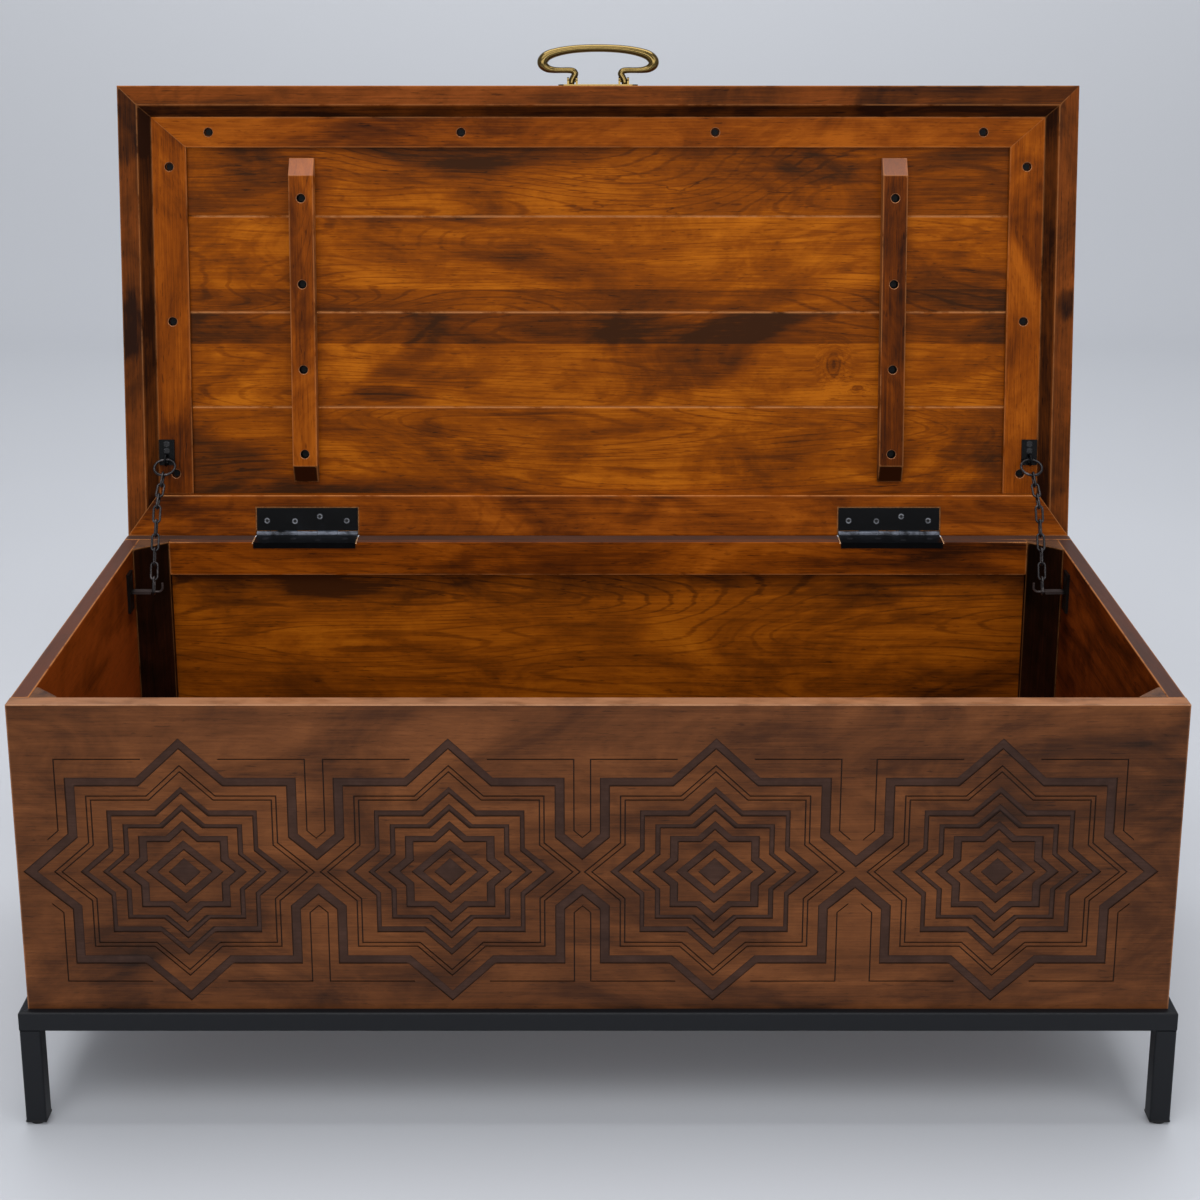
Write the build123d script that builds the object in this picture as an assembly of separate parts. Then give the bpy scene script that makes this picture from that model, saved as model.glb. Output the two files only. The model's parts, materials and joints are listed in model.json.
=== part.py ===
from build123d import *
import os
from math import atan2, cos, degrees, radians, sin

# An arabic dowry chest: a wooden box with a carved star front, a framed lid
# held open by two chains, a brass bail handle and a black steel stand.
# Millimetres, +Z up, the carved front faces -Y.

os.makedirs("parts", exist_ok=True)

# ---------------------------------------------------------------- box
chest_width = 1100.0
chest_depth = 515.0
box_height = 314.0
front_thickness = 18.0
side_thickness = 17.0
back_thickness = 15.0
back_rail_height = 40.0
back_rail_depth = 10.0
back_post_width = 36.0
back_post_reach = 28.0
front_post_leg = 26.0
front_post_land = 3.0
floor_thickness = 12.0
cleat_size = 16.0

# ---------------------------------------------------------------- carving
channel_depth = 1.2
star_height_share = 0.4604
star_centres = (-391.6, -140.0, 110.3, 377.9)
top_tip_slope = 0.951
side_tip_slope = 0.885
frame_line_end = 127.8
frame_line_gap = 36.0
# Each band: top tip, corner x, corner z, side tip of its outer edge, then of its inner edge.
star_bands = (
    ((136.0, 108.6, 96.5, 153.0), (125.0, 99.2, 87.5, 138.9)),
    ((109.5, 89.8, 78.5, 124.0), (107.8, 88.5, 77.2, 122.0)),
    ((103.4, 85.5, 74.4, 117.0), (101.7, 84.2, 73.1, 115.2)),
    ((87.3, 70.8, 63.3, 99.0), (80.2, 66.3, 56.9, 90.6)),
    ((69.8, 56.3, 49.1, 77.8), (62.2, 51.3, 44.7, 71.3)),
    ((52.4, 42.3, 37.1, 58.9), (43.0, 34.3, 30.5, 47.1)),
)
diamond_outer = (32.7, 36.7)
diamond_inner = (22.4, 25.4)
diamond_core = (14.5, 15.3)
frame_line = ((117.9, 115.6, 166.0), (116.7, 114.4, 164.4))

# ---------------------------------------------------------------- lid
lid_gap = 0.6
lid_thickness = 38.0
lid_overhang = 6.0
plank_thickness = 18.0
front_plank_width = 149.0
inner_plank_width = 111.2
plank_seam = 0.8
plank_ease = 0.8
rim_face = 22.0
rim_slope_run = 13.0
rim_slope_drop = 14.0
hinge_rail_width = 42.0
lid_frame_thickness = 6.0
lid_frame_front_width = 35.0
lid_frame_side_width = 40.0
batten_end_distance = 208.0
batten_width = 28.5
batten_thickness = 18.0
batten_start = 82.0
batten_back_gap = 14.0
batten_bevel_run = 20.0
batten_bevel_drop = 11.0

# ---------------------------------------------------------------- screws
screw_well_radius = 4.2
screw_head_radius = 3.7
screw_head_height = 2.4
screw_shank_radius = 1.8
screw_bite = 12.0
screw_fit = 0.05
slot_width = 0.9
slot_depth = 0.9
batten_well_depth = 9.0
frame_front_screws = (-449.0, -158.0, 135.0, 444.0)
frame_side_screw_count = 3
frame_side_screw_start = 92.0
frame_side_screw_margin = 23.5
batten_screw_count = 4
batten_screw_front_margin = 46.0
batten_screw_back_margin = 34.0
countersunk_radius = 3.6

# ---------------------------------------------------------------- hinges
hinge_end_distance = 210.0
hinge_length = 118.0
leaf_thickness = 2.0
lid_leaf_width = 27.0
leaf_mortise_fit = 0.6
leaf_lip_drop = 7.0
knuckle_count = 5
knuckle_radius = 3.6
knuckle_wood_gap = 0.4
knuckle_gap = 0.4
hinge_pin_radius = 1.6
pin_running_fit = 0.06
hinge_screw_columns = (-47.0, -14.5, 14.5, 46.0)
hinge_screw_rows = (12.0, 11.5, 17.0, 12.0)

# ---------------------------------------------------------------- opening and chains
open_angle = 98.0
chain_wire = 2.6
link_play = 0.4
link_pitch = 16.5
link_half_width = 3.8
links_per_run = 3
low_run_rise = 68.9
mid_run_rise = 60.8
high_run_rise = 32.7
ring_radius = 12.0
ring_wire = 3.0
hook_from_back = 83.0
hook_hole_radius = 4.8
hook_wire = 3.0
hook_standoff = 4.8
chain_plate_width = 18.0
chain_plate_height = 30.0
chain_plate_thickness = 2.5
chain_plate_tail = 7.0
chain_plate_edge = 1.0
chain_plate_screw_margin = 5.0
chain_plate_mid_screw = -1.9
bracket_width = 20.0
bracket_height = 46.0
bracket_thickness = 3.0
bracket_arm_wire = 2.6
bracket_arm_end = 10.0
bracket_strip_width = 9.0
bracket_strip_thickness = 3.2
bracket_strip_gap = 2.6
bracket_screw_margin = 7.0

# ---------------------------------------------------------------- handle
handle_plate_length = 92.0
handle_plate_width = 16.0
handle_plate_thickness = 2.0
handle_screw_margin = 5.0
handle_pivot_height = 6.0
handle_foot_offset = 29.5
handle_foot_radius = 3.6
handle_foot_length = 6.4
handle_cheek_thickness = 2.2
handle_cheek_gap = 0.7
handle_cheek_radius = 4.4
handle_pin_radius = 1.5
handle_arch_height = 38.0
handle_half_width = 64.5
handle_shoulder_height = 12.0
handle_end_radius = 8.5
handle_neck_rise = 5.0
handle_neck_lean = 3.5
handle_neck_bend = 3.5
handle_neck_radius = 2.8
handle_taper_start = 40.0
handle_taper_length = 12.0
handle_arch_radius = 4.3

# ---------------------------------------------------------------- stand
base_height = 122.0
base_overhang = 8.0
rail_height = 20.0
rail_depth = 25.0
leg_size = 20.0
tube_wall = 1.5
glide_height = 5.0
glide_flange = 2.0
glide_radius = 8.0
glide_plug_length = 20.0
glide_plug_fit = 0.15
crossbar_offset = 190.0
crossbar_width = 30.0
crossbar_thickness = 5.0
base_screw_end_distance = 80.0
base_screw_head_radius = 4.5
base_screw_head_height = 3.0
base_screw_shank_radius = 2.4
base_screw_bite = 26.0
base_screw_access_radius = 6.0

# ---------------------------------------------------------------- derived places
box_top = base_height + box_height
half_width = chest_width / 2
half_depth = chest_depth / 2
side_inside = half_width - side_thickness
front_inside = -half_depth + front_thickness
back_inside = half_depth - back_thickness
back_rail_face = back_inside - back_rail_depth
lid_bottom = box_top + lid_gap
lid_depth = chest_depth + lid_overhang
lid_back = half_depth + lid_overhang
rim_depth = lid_thickness - plank_thickness
rim_width = rim_face + rim_slope_run
frame_face = rim_depth - lid_frame_thickness
rail_line = chest_depth - hinge_rail_width
batten_offset = half_width - batten_end_distance
batten_end = rail_line - batten_back_gap
hinge_offset = half_width - hinge_end_distance
chain_offset = half_width - rim_width - chain_plate_edge - chain_plate_width / 2
hinge_y = half_depth + knuckle_radius + knuckle_wood_gap
hinge_z = box_top + lid_gap / 2
hinge_axis = Axis((0, hinge_y, hinge_z), (1, 0, 0))
lean = radians(open_angle - 90)

# The origin is under the middle of the open chest's outline.
front_reach = half_depth + base_overhang
back_reach = hinge_y + (chest_depth + hinge_y - half_depth) * sin(lean)
back_reach += (lid_thickness + lid_gap / 2) * cos(lean)
origin_shift = (front_reach - back_reach) / 2


# ---------------------------------------------------------------- shape helpers
def block(x0, x1, y0, y1, z0, z1):
    """A box given by its low and high faces."""
    centre = Pos((x0 + x1) / 2, (y0 + y1) / 2, (z0 + z1) / 2)
    return centre * Box(abs(x1 - x0), abs(y1 - y0), abs(z1 - z0))


def prism_z(points, z0, z1):
    """A plan outline drawn in X and Y, carried from z0 up to z1."""
    outline = make_face(Polyline(*points, close=True))
    return extrude(Pos(0, 0, z0) * outline, z1 - z0, dir=(0, 0, 1))


def prism_x(points, x0, x1):
    """A section drawn in Y and Z, carried from x0 to x1."""
    outline = Plane.YZ.offset(x0) * make_face(Polyline(*points, close=True))
    return extrude(outline, x1 - x0, dir=(1, 0, 0))


def prism_y(points, y0, y1):
    """A section drawn in X and Z, carried from y0 to y1."""
    outline = Plane.XZ.offset(-y0) * make_face(Polyline(*points, close=True))
    return extrude(outline, y1 - y0, dir=(0, 1, 0))


def mitred_plan(outer_x, outer_y, inner_x, inner_y):
    """Plan of a strip along X with both ends mitred."""
    return [(-outer_x, outer_y), (outer_x, outer_y), (inner_x, inner_y), (-inner_x, inner_y)]


def rod(start, end, radius):
    """A round bar between two points."""
    axis = Vector(*end) - Vector(*start)
    plane = Plane(origin=start, z_dir=axis)
    return extrude(plane * Circle(radius), axis.length, dir=axis)


def mirrored(shape):
    """The same piece on the other side of the chest."""
    return mirror(shape, about=Plane.YZ)


def opened(shape):
    """A lid piece, drawn shut, turned up to where the open lid stands."""
    return shape.rotate(hinge_axis, -open_angle)


def group(pieces):
    """Separate solids that share one node."""
    solids = [solid for piece in pieces for solid in piece.solids()]
    return Compound(solids)


def lid_z(depth):
    """Height of a point on the shut lid, depth mm above its underside."""
    return lid_bottom + depth


def lid_y(from_front):
    """Depth of a point on the shut lid, from_front mm behind its front edge."""
    return -half_depth + from_front


# ---------------------------------------------------------------- carved front
def star_outline(top_tip, corner_x, corner_z, side_tip):
    """Eight pointed star: four square corners and four tips between them."""
    notch_x = min((top_tip - corner_z) / top_tip_slope, corner_x)
    notch_z = min((side_tip - corner_x) * side_tip_slope, corner_z)
    quarter = [(0, top_tip), (notch_x, corner_z), (corner_x, corner_z)]
    quarter += [(corner_x, notch_z), (side_tip, 0)]
    lower = [(x, -z) for x, z in reversed(quarter[:-1])]
    right = quarter + lower
    left = [(-x, z) for x, z in reversed(right[1:-1])]
    return right + left


def ring_cut(outer, inner, x, z, low, high):
    """A channel between two outlines, kept between two upright limits."""
    rings = make_face(Polyline(*outer, close=True)) - make_face(Polyline(*inner, close=True))
    tall = 2 * box_height
    limits = Pos((low + high) / 2, 0) * Rectangle(high - low, tall)
    shape = Plane.XZ.offset(half_depth) * (Pos(x, z) * (rings & limits))
    return extrude(shape, channel_depth, dir=(0, 1, 0))


def diamond(size):
    """A four cornered outline of a half height and a half width."""
    tall, wide = size
    return [(0, tall), (wide, 0), (0, -tall), (-wide, 0)]


def cell_limits(index):
    """How far a star may reach left and right of its own centre."""
    centre = star_centres[index]
    reach = half_width - max(abs(star_centres[0]), abs(star_centres[-1]))
    left = -reach
    right = reach
    if index > 0:
        left = (star_centres[index - 1] - centre) / 2
    if index < len(star_centres) - 1:
        right = (star_centres[index + 1] - centre) / 2
    return left, right


def frame_line_outline(corner_x, corner_z, side_tip):
    """The thin line that boxes a star in and notches in at its sides."""
    notch_z = (side_tip - corner_x) * side_tip_slope
    right = [(corner_x, corner_z), (corner_x, notch_z), (side_tip, 0)]
    right += [(corner_x, -notch_z), (corner_x, -corner_z)]
    left = [(-x, z) for x, z in reversed(right)]
    return right + left


def star_cuts(index):
    """All the channels of one star."""
    x = star_centres[index]
    z = base_height + star_height_share * box_height
    left, right = cell_limits(index)
    cuts = []
    for outer, inner in star_bands:
        cuts.append(ring_cut(star_outline(*outer), star_outline(*inner), x, z, left, right))
    cuts.append(ring_cut(diamond(diamond_outer), diamond(diamond_inner), x, z, left, right))
    core = make_face(Polyline(*diamond(diamond_core), close=True))
    core = Plane.XZ.offset(half_depth) * (Pos(x, z) * core)
    cuts.append(extrude(core, channel_depth, dir=(0, 1, 0)))
    line_outer = frame_line_outline(*frame_line[0])
    line_inner = frame_line_outline(*frame_line[1])
    line_left = max(left, -frame_line_end)
    line_right = min(right, frame_line_end)
    for low, high in ((line_left, -frame_line_gap), (frame_line_gap, line_right)):
        cuts.append(ring_cut(line_outer, line_inner, x, z, low, high))
    return cuts


def front_panel():
    """The front board with its row of carved stars."""
    board = block(-half_width, half_width, -half_depth, front_inside, base_height, box_top)
    for index in range(len(star_centres)):
        for cut in star_cuts(index):
            board = board - cut
    return board - base_screw_holes()


# ---------------------------------------------------------------- box
def side_panel():
    """The right side board, between the front and back boards."""
    board = block(side_inside, half_width, front_inside, back_inside, base_height, box_top)
    for screw in bracket_screws():
        board = board - screw_hole(screw)
    return board - base_screw_holes()


def back_panel():
    """The plain back board, with the hinge leaves let into its top edge."""
    board = block(-half_width, half_width, back_inside, half_depth, base_height, box_top)
    for mortise in box_leaf_mortises():
        board = board - mortise
    for screw in box_hinge_screws():
        board = board - screw_hole(screw)
    return board - base_screw_holes()


def back_top_rail():
    """The rail along the inside of the back board's top edge."""
    end = side_inside - back_post_width
    bottom = box_top - back_rail_height
    board = block(-end, end, back_rail_face, back_inside, bottom, box_top)
    for mortise in box_leaf_mortises():
        board = board - mortise
    for screw in box_hinge_screws():
        board = board - screw_hole(screw)
    return board


def corner_post_back():
    """The right back corner block, splayed towards the side board."""
    inner_x = side_inside - back_post_width
    outline = [(side_inside, back_inside), (inner_x, back_inside), (inner_x, back_rail_face)]
    outline += [(side_inside, back_rail_face - back_post_reach)]
    return prism_z(outline, base_height, box_top)


def corner_post_front():
    """The right front corner block, a triangle with blunted tips."""
    inner_x = side_inside - front_post_leg
    outline = [(side_inside, front_inside), (side_inside, front_inside + front_post_leg)]
    outline += [(side_inside - front_post_land, front_inside + front_post_leg)]
    outline += [(inner_x, front_inside + front_post_land), (inner_x, front_inside)]
    return prism_z(outline, base_height, box_top)


def floor_panel():
    """The bottom board, cut round the four corner blocks."""
    low = base_height + cleat_size
    board = block(-side_inside, side_inside, front_inside, back_inside, low, low + floor_thickness)
    for post in (corner_post_back(), corner_post_front()):
        board = board - post - mirrored(post)
    return board


def floor_cleats():
    """Four strips under the bottom board, one along each wall."""
    low = base_height
    high = base_height + cleat_size
    front_end = side_inside - front_post_leg
    back_end = side_inside - back_post_width
    front = block(-front_end, front_end, front_inside, front_inside + cleat_size, low, high)
    back = block(-back_end, back_end, back_inside - cleat_size, back_inside, low, high)
    side_start = front_inside + front_post_leg
    side_end = back_rail_face - back_post_reach
    side = block(side_inside - cleat_size, side_inside, side_start, side_end, low, high)
    return group([front, back, side, mirrored(side)])


# ---------------------------------------------------------------- screws
def countersunk_screw(x, y, z):
    """A screw pointing down -Z whose flat head is flush with height z."""
    sink = countersunk_radius - screw_shank_radius
    head = Pos(0, 0, -sink / 2) * Cone(screw_shank_radius, countersunk_radius, sink)
    shank = Pos(0, 0, -(sink + screw_bite) / 2) * Cylinder(screw_shank_radius, screw_bite - sink)
    slot = Box(2 * countersunk_radius, slot_width, 2 * slot_depth)
    return Pos(x, y, z) * (head + shank - slot)


def pan_screw(x, y, z):
    """A screw pointing down -Z whose round head stands on height z."""
    head = Pos(0, 0, screw_head_height / 2) * Cylinder(screw_head_radius, screw_head_height)
    shank = Pos(0, 0, -screw_bite / 2) * Cylinder(screw_shank_radius, screw_bite)
    slot = Pos(0, 0, screw_head_height) * Box(2 * screw_head_radius, slot_width, 2 * slot_depth)
    return Pos(x, y, z) * (head + shank - slot)


def screw_hole(screw):
    """The hole a screw sits in: the screw's own outline, a little wider."""
    cutter, seat = screw[1], screw[2]
    return cutter if seat is None else cutter + seat


def wood_screw(x, y, surface, depth, turn=None):
    """A screw in a well below a face at height surface, as (screw, hole, well)."""
    seat_z = surface - depth
    screw = pan_screw(x, y, seat_z)
    hole = Pos(x, y, seat_z - screw_bite / 2)
    hole = hole * Cylinder(screw_shank_radius + screw_fit, screw_bite + 2 * screw_fit)
    well = Pos(x, y, seat_z + depth / 2) * Cylinder(screw_well_radius, depth)
    if turn is not None:
        return turn(screw), turn(hole), turn(well)
    return screw, hole, well


def plate_screw(x, y, surface, turn=None):
    """A flush screw in a metal plate, as (screw, hole, countersink)."""
    radius = screw_shank_radius + screw_fit
    screw = countersunk_screw(x, y, surface)
    sink = countersunk_radius - screw_shank_radius
    hole = Cylinder(radius, screw_bite + 2 * screw_fit)
    hole = Pos(x, y, surface - screw_bite / 2) * hole
    seat = Pos(x, y, surface - sink / 2) * Cone(radius, countersunk_radius + screw_fit, sink)
    if turn is not None:
        return turn(screw), turn(hole), turn(seat)
    return screw, hole, seat


def flip_to_lid(shape):
    """Turn a piece drawn on top of a face at the lid's underside height upside down."""
    return shape.rotate(Axis((0, 0, lid_bottom), (1, 0, 0)), 180)


def even_places(first, last, count):
    """Evenly spaced places, both ends included."""
    return [first + (last - first) * index / (count - 1) for index in range(count)]


def lid_well_screw(x, from_front, face_depth, well_depth):
    """A screw driven up into the shut lid from a face face_depth above its underside."""
    return wood_screw(x, -lid_y(from_front), lid_bottom - face_depth, well_depth, flip_to_lid)


def lid_plate_screw(x, from_front, face_depth):
    """A flush screw driven up into the shut lid through a plate face."""
    return plate_screw(x, -lid_y(from_front), lid_bottom - face_depth, flip_to_lid)


def lid_frame_screws():
    """The screws that hold the lid's inner frame to its planks."""
    front_line = rim_width + lid_frame_front_width / 2
    side_line = half_width - rim_width - lid_frame_side_width / 2
    screws = []
    for x in frame_front_screws:
        screws.append(lid_well_screw(x, front_line, frame_face, lid_frame_thickness))
    side_end = rail_line - frame_side_screw_margin
    for from_front in even_places(frame_side_screw_start, side_end, frame_side_screw_count):
        for x in (-side_line, side_line):
            screws.append(lid_well_screw(x, from_front, frame_face, lid_frame_thickness))
    return screws


def batten_wood_screws():
    """The screws that hold the two battens to the planks."""
    face = rim_depth - batten_thickness
    first = batten_start + batten_screw_front_margin
    last = batten_end - batten_screw_back_margin
    return [
        lid_well_screw(x, from_front, face, batten_well_depth)
        for x in (-batten_offset, batten_offset)
        for from_front in even_places(first, last, batten_screw_count)
    ]


# ---------------------------------------------------------------- hinges
def knuckle_spans():
    """Start and end of each hinge knuckle, from the hinge's own middle."""
    step = hinge_length / knuckle_count
    starts = [-hinge_length / 2 + step * index for index in range(knuckle_count)]
    return [(start + knuckle_gap / 2, start + step - knuckle_gap / 2) for start in starts]


def knuckles(centre, first, side_z0, side_z1):
    """Every other knuckle of a hinge with the web that joins it to its leaf."""
    body = []
    for low, high in knuckle_spans()[first::2]:
        start = centre + low
        end = centre + high
        barrel = rod((start, hinge_y, hinge_z), (end, hinge_y, hinge_z), knuckle_radius)
        web = block(start, end, leaf_edge(), hinge_y, side_z0, side_z1)
        body.append(barrel + web)
    return body


def pin_bore(centre):
    """The bore through all the knuckles."""
    half = hinge_length / 2
    start = (centre - half, hinge_y, hinge_z)
    end = (centre + half, hinge_y, hinge_z)
    return rod(start, end, hinge_pin_radius + pin_running_fit)


def leaf_edge():
    """Where a hinge leaf stops short of the other leaf's knuckles."""
    return half_depth - knuckle_wood_gap


def box_leaf(centre):
    """The leaf let into the back wall's top, with a lip down its inner face."""
    low = centre - hinge_length / 2
    high = centre + hinge_length / 2
    bottom = box_top - leaf_thickness
    leaf = block(low, high, back_rail_face, leaf_edge(), bottom, box_top)
    lip_face = back_rail_face - leaf_thickness
    lip = block(low, high, lip_face, back_rail_face, box_top - leaf_lip_drop, box_top)
    body = leaf + lip
    for knuckle in knuckles(centre, 0, bottom, box_top):
        body = body + knuckle
    body = body - pin_bore(centre)
    for screw in box_hinge_screws(centre):
        body = body - screw_hole(screw)
    return body


def lid_leaf(centre):
    """The leaf let into the underside of the lid's hinge rail."""
    low = centre - hinge_length / 2
    high = centre + hinge_length / 2
    top = lid_bottom + leaf_thickness
    body = block(low, high, half_depth - lid_leaf_width, leaf_edge(), lid_bottom, top)
    for knuckle in knuckles(centre, 1, lid_bottom, top):
        body = body + knuckle
    body = body - pin_bore(centre)
    for screw in lid_hinge_screws(centre):
        body = body - screw_hole(screw)
    return body


def box_leaf_mortises():
    """The recesses for the box leaves."""
    half = hinge_length / 2 + leaf_mortise_fit
    bottom = box_top - leaf_thickness
    return [
        block(centre - half, centre + half, back_rail_face - 1, half_depth + 1, bottom, box_top + 1)
        for centre in (-hinge_offset, hinge_offset)
    ]


def lid_leaf_mortises():
    """The recesses for the lid leaves, deeper at the lid's back edge for the knuckles."""
    half = hinge_length / 2 + leaf_mortise_fit
    front = half_depth - lid_leaf_width - leaf_mortise_fit
    leaf_top = lid_bottom + leaf_thickness
    knuckle_top = hinge_z + knuckle_radius + knuckle_wood_gap
    cuts = []
    for centre in (-hinge_offset, hinge_offset):
        left = centre - half
        right = centre + half
        shallow = block(left, right, front, lid_back + 1, lid_bottom - 1, leaf_top)
        cuts.append(shallow + block(left, right, leaf_edge(), lid_back + 1, lid_bottom - 1, knuckle_top))
    return cuts


def box_hinge_screws(centre=None):
    """The screws of the box leaves, of one hinge or of both."""
    centres = (-hinge_offset, hinge_offset) if centre is None else (centre,)
    return [
        plate_screw(middle + column, half_depth - row, box_top)
        for middle in centres
        for column, row in zip(hinge_screw_columns, hinge_screw_rows)
    ]


def lid_hinge_screws(centre=None):
    """The screws of the lid leaves, of one hinge or of both."""
    centres = (-hinge_offset, hinge_offset) if centre is None else (centre,)
    return [
        lid_plate_screw(middle + column, chest_depth - row, 0)
        for middle in centres
        for column, row in zip(hinge_screw_columns, hinge_screw_rows)
    ]


def hinge_pins():
    """The two hinge pins."""
    half = hinge_length / 2
    pins = []
    for centre in (-hinge_offset, hinge_offset):
        start = (centre - half, hinge_y, hinge_z)
        end = (centre + half, hinge_y, hinge_z)
        pins.append(rod(start, end, hinge_pin_radius))
    return group(pins)


# ---------------------------------------------------------------- lid
def rim_section():
    """Section of the lid rim as (distance in from the edge, height in the lid)."""
    slope_foot = (rim_width, rim_slope_drop)
    return [(0, 0), (rim_face, 0), slope_foot, (rim_width, rim_depth), (0, rim_depth)]


def lid_rim_front():
    """The front rim, mitred into the side rims."""
    section = [(lid_y(inward), lid_z(rise)) for inward, rise in rim_section()]
    bar = prism_x(section, -half_width, half_width)
    plan = mitred_plan(half_width, lid_y(0), half_width - rim_width, lid_y(rim_width))
    return bar & prism_z(plan, lid_bottom, lid_z(rim_depth))


def lid_rim_side():
    """The right side rim, mitred at the front and into the hinge rail."""
    section = [(half_width - inward, lid_z(rise)) for inward, rise in rim_section()]
    bar = prism_y(section, -half_depth, lid_back)
    inner_x = half_width - rim_width
    plan = [(half_width, lid_y(0)), (half_width, lid_back)]
    plan += [(inner_x, lid_y(rail_line)), (inner_x, lid_y(rim_width))]
    return bar & prism_z(plan, lid_bottom, lid_z(rim_depth))


def lid_hinge_rail():
    """The flat rail that carries the hinges, mitred into the side rims."""
    inner_y = lid_y(rail_line)
    plan = mitred_plan(half_width, lid_back, half_width - rim_width, inner_y)
    board = prism_z(plan, lid_bottom, lid_z(rim_depth))
    for mortise in lid_leaf_mortises():
        board = board - mortise
    for screw in lid_hinge_screws():
        board = board - screw_hole(screw)
    return board


def lid_frame_front():
    """The inner frame's front strip, mitred into its side strips."""
    inner_y = lid_y(rim_width + lid_frame_front_width)
    outer_x = half_width - rim_width
    inner_x = outer_x - lid_frame_side_width
    plan = mitred_plan(outer_x, lid_y(rim_width), inner_x, inner_y)
    strip = prism_z(plan, lid_z(frame_face), lid_z(rim_depth))
    for screw in lid_frame_screws():
        strip = strip - screw_hole(screw)
    return strip


def lid_frame_side():
    """The inner frame's right strip."""
    outer_x = half_width - rim_width
    inner_x = outer_x - lid_frame_side_width
    plan = [(outer_x, lid_y(rim_width)), (outer_x, lid_y(rail_line))]
    plan += [(inner_x, lid_y(rail_line))]
    plan += [(inner_x, lid_y(rim_width + lid_frame_front_width))]
    strip = prism_z(plan, lid_z(frame_face), lid_z(rim_depth))
    for screw in lid_frame_screws() + chain_plate_screws():
        strip = strip - screw_hole(screw)
    return strip


def plank_edges():
    """Seams between the lid's planks, from the lid's front edge."""
    edges = [0, front_plank_width]
    edges += [front_plank_width + inner_plank_width, front_plank_width + 2 * inner_plank_width]
    return edges + [lid_depth]


def lid_plank(index):
    """One of the four planks that make the lid's top, eased along its long edges."""
    edges = plank_edges()
    last = len(edges) - 2
    front = lid_y(edges[index] + (plank_seam / 2 if index > 0 else 0))
    back = lid_y(edges[index + 1] - (plank_seam / 2 if index < last else 0))
    low = lid_z(rim_depth)
    high = lid_z(lid_thickness)
    ease = plank_ease
    section = [(front, low + ease), (front + ease, low), (back - ease, low), (back, low + ease)]
    section += [(back, high - ease), (back - ease, high), (front + ease, high), (front, high - ease)]
    plank = prism_x(section, -half_width, half_width)
    for screw in lid_frame_screws() + batten_wood_screws() + chain_plate_screws():
        if screw[1].bounding_box().min.Y < back and screw[1].bounding_box().max.Y > front:
            plank = plank - screw[1]
    if index == last:
        for screw in lid_hinge_screws():
            plank = plank - screw[1]
    if index == 0:
        for screw in handle_screws():
            plank = plank - screw[1]
    return plank


def lid_batten(centre):
    """A batten across the planks, its ends bevelled."""
    front = lid_y(batten_start)
    back = lid_y(batten_end)
    base = lid_z(rim_depth)
    face = base - batten_thickness
    section = [(front, base), (front, face + batten_bevel_drop), (front + batten_bevel_run, face)]
    section += [(back - batten_bevel_run, face), (back, face + batten_bevel_drop), (back, base)]
    bar = prism_x(section, centre - batten_width / 2, centre + batten_width / 2)
    for screw in batten_wood_screws():
        bar = bar - screw_hole(screw)
    return bar


# ---------------------------------------------------------------- chain fittings
def chain_plate_face():
    """Height in the lid of the chain plate's outer face."""
    return frame_face - chain_plate_thickness


def hook_rise():
    """Height in the lid of the middle of the hook's hole."""
    return chain_plate_face() - hook_standoff


def chain_plate_screws():
    """The two screws of each chain plate, one near its end and one near its middle."""
    reach = chain_plate_height / 2 - chain_plate_screw_margin
    middle = chest_depth - hook_from_back + chain_plate_tail - chain_plate_height / 2
    return [
        lid_plate_screw(x, middle + shift, chain_plate_face())
        for x in (-chain_offset, chain_offset)
        for shift in (-reach, chain_plate_mid_screw)
    ]


def chain_plate():
    """The right lid plate with the round hook that the chain's ring hangs in."""
    hook_y = half_depth - hook_from_back
    back = hook_y + chain_plate_tail
    front = back - chain_plate_height
    low = lid_z(chain_plate_face())
    high = lid_z(frame_face)
    left = chain_offset - chain_plate_width / 2
    right = chain_offset + chain_plate_width / 2
    plate = block(left, right, front, back, low, high)
    upright = Plane(origin=(chain_offset, hook_y, lid_z(hook_rise())), x_dir=(0, 1, 0), z_dir=(1, 0, 0))
    hoop = upright * Torus(hook_hole_radius + hook_wire / 2, hook_wire / 2)
    spare = block(left, right, front, back, high, lid_z(lid_thickness))
    body = plate + (hoop - spare)
    for screw in chain_plate_screws():
        body = body - screw_hole(screw)
    return body


def hook_place():
    """Y and Z of the hook hole's middle with the lid open."""
    across = half_depth - hook_from_back - hinge_y
    rise = lid_z(hook_rise()) - hinge_z
    turn = radians(-open_angle)
    y = hinge_y + across * cos(turn) - rise * sin(turn)
    z = hinge_z + across * sin(turn) + rise * cos(turn)
    return y, z


def link_pull():
    """How far the crossing wires of two linked loops stand apart."""
    return chain_wire + link_play


def run_lengths():
    """Length of each stiff run of the chain, from pivot to pivot."""
    run = links_per_run * link_pitch
    low = run - link_pull()
    middle = run + link_pull()
    high = run + 2 * ring_radius - link_pull()
    return low, middle, high


def run_starts():
    """Y and Z of the start of each run, from the wall bracket up, and its rise angle."""
    angles = (low_run_rise, mid_run_rise, high_run_rise)
    y, z = hook_place()
    starts = []
    for length, angle in reversed(list(zip(run_lengths(), angles))):
        y = y - length * cos(radians(angle))
        z = z - length * sin(radians(angle))
        starts.append((y, z, angle))
    return list(reversed(starts))


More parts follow.
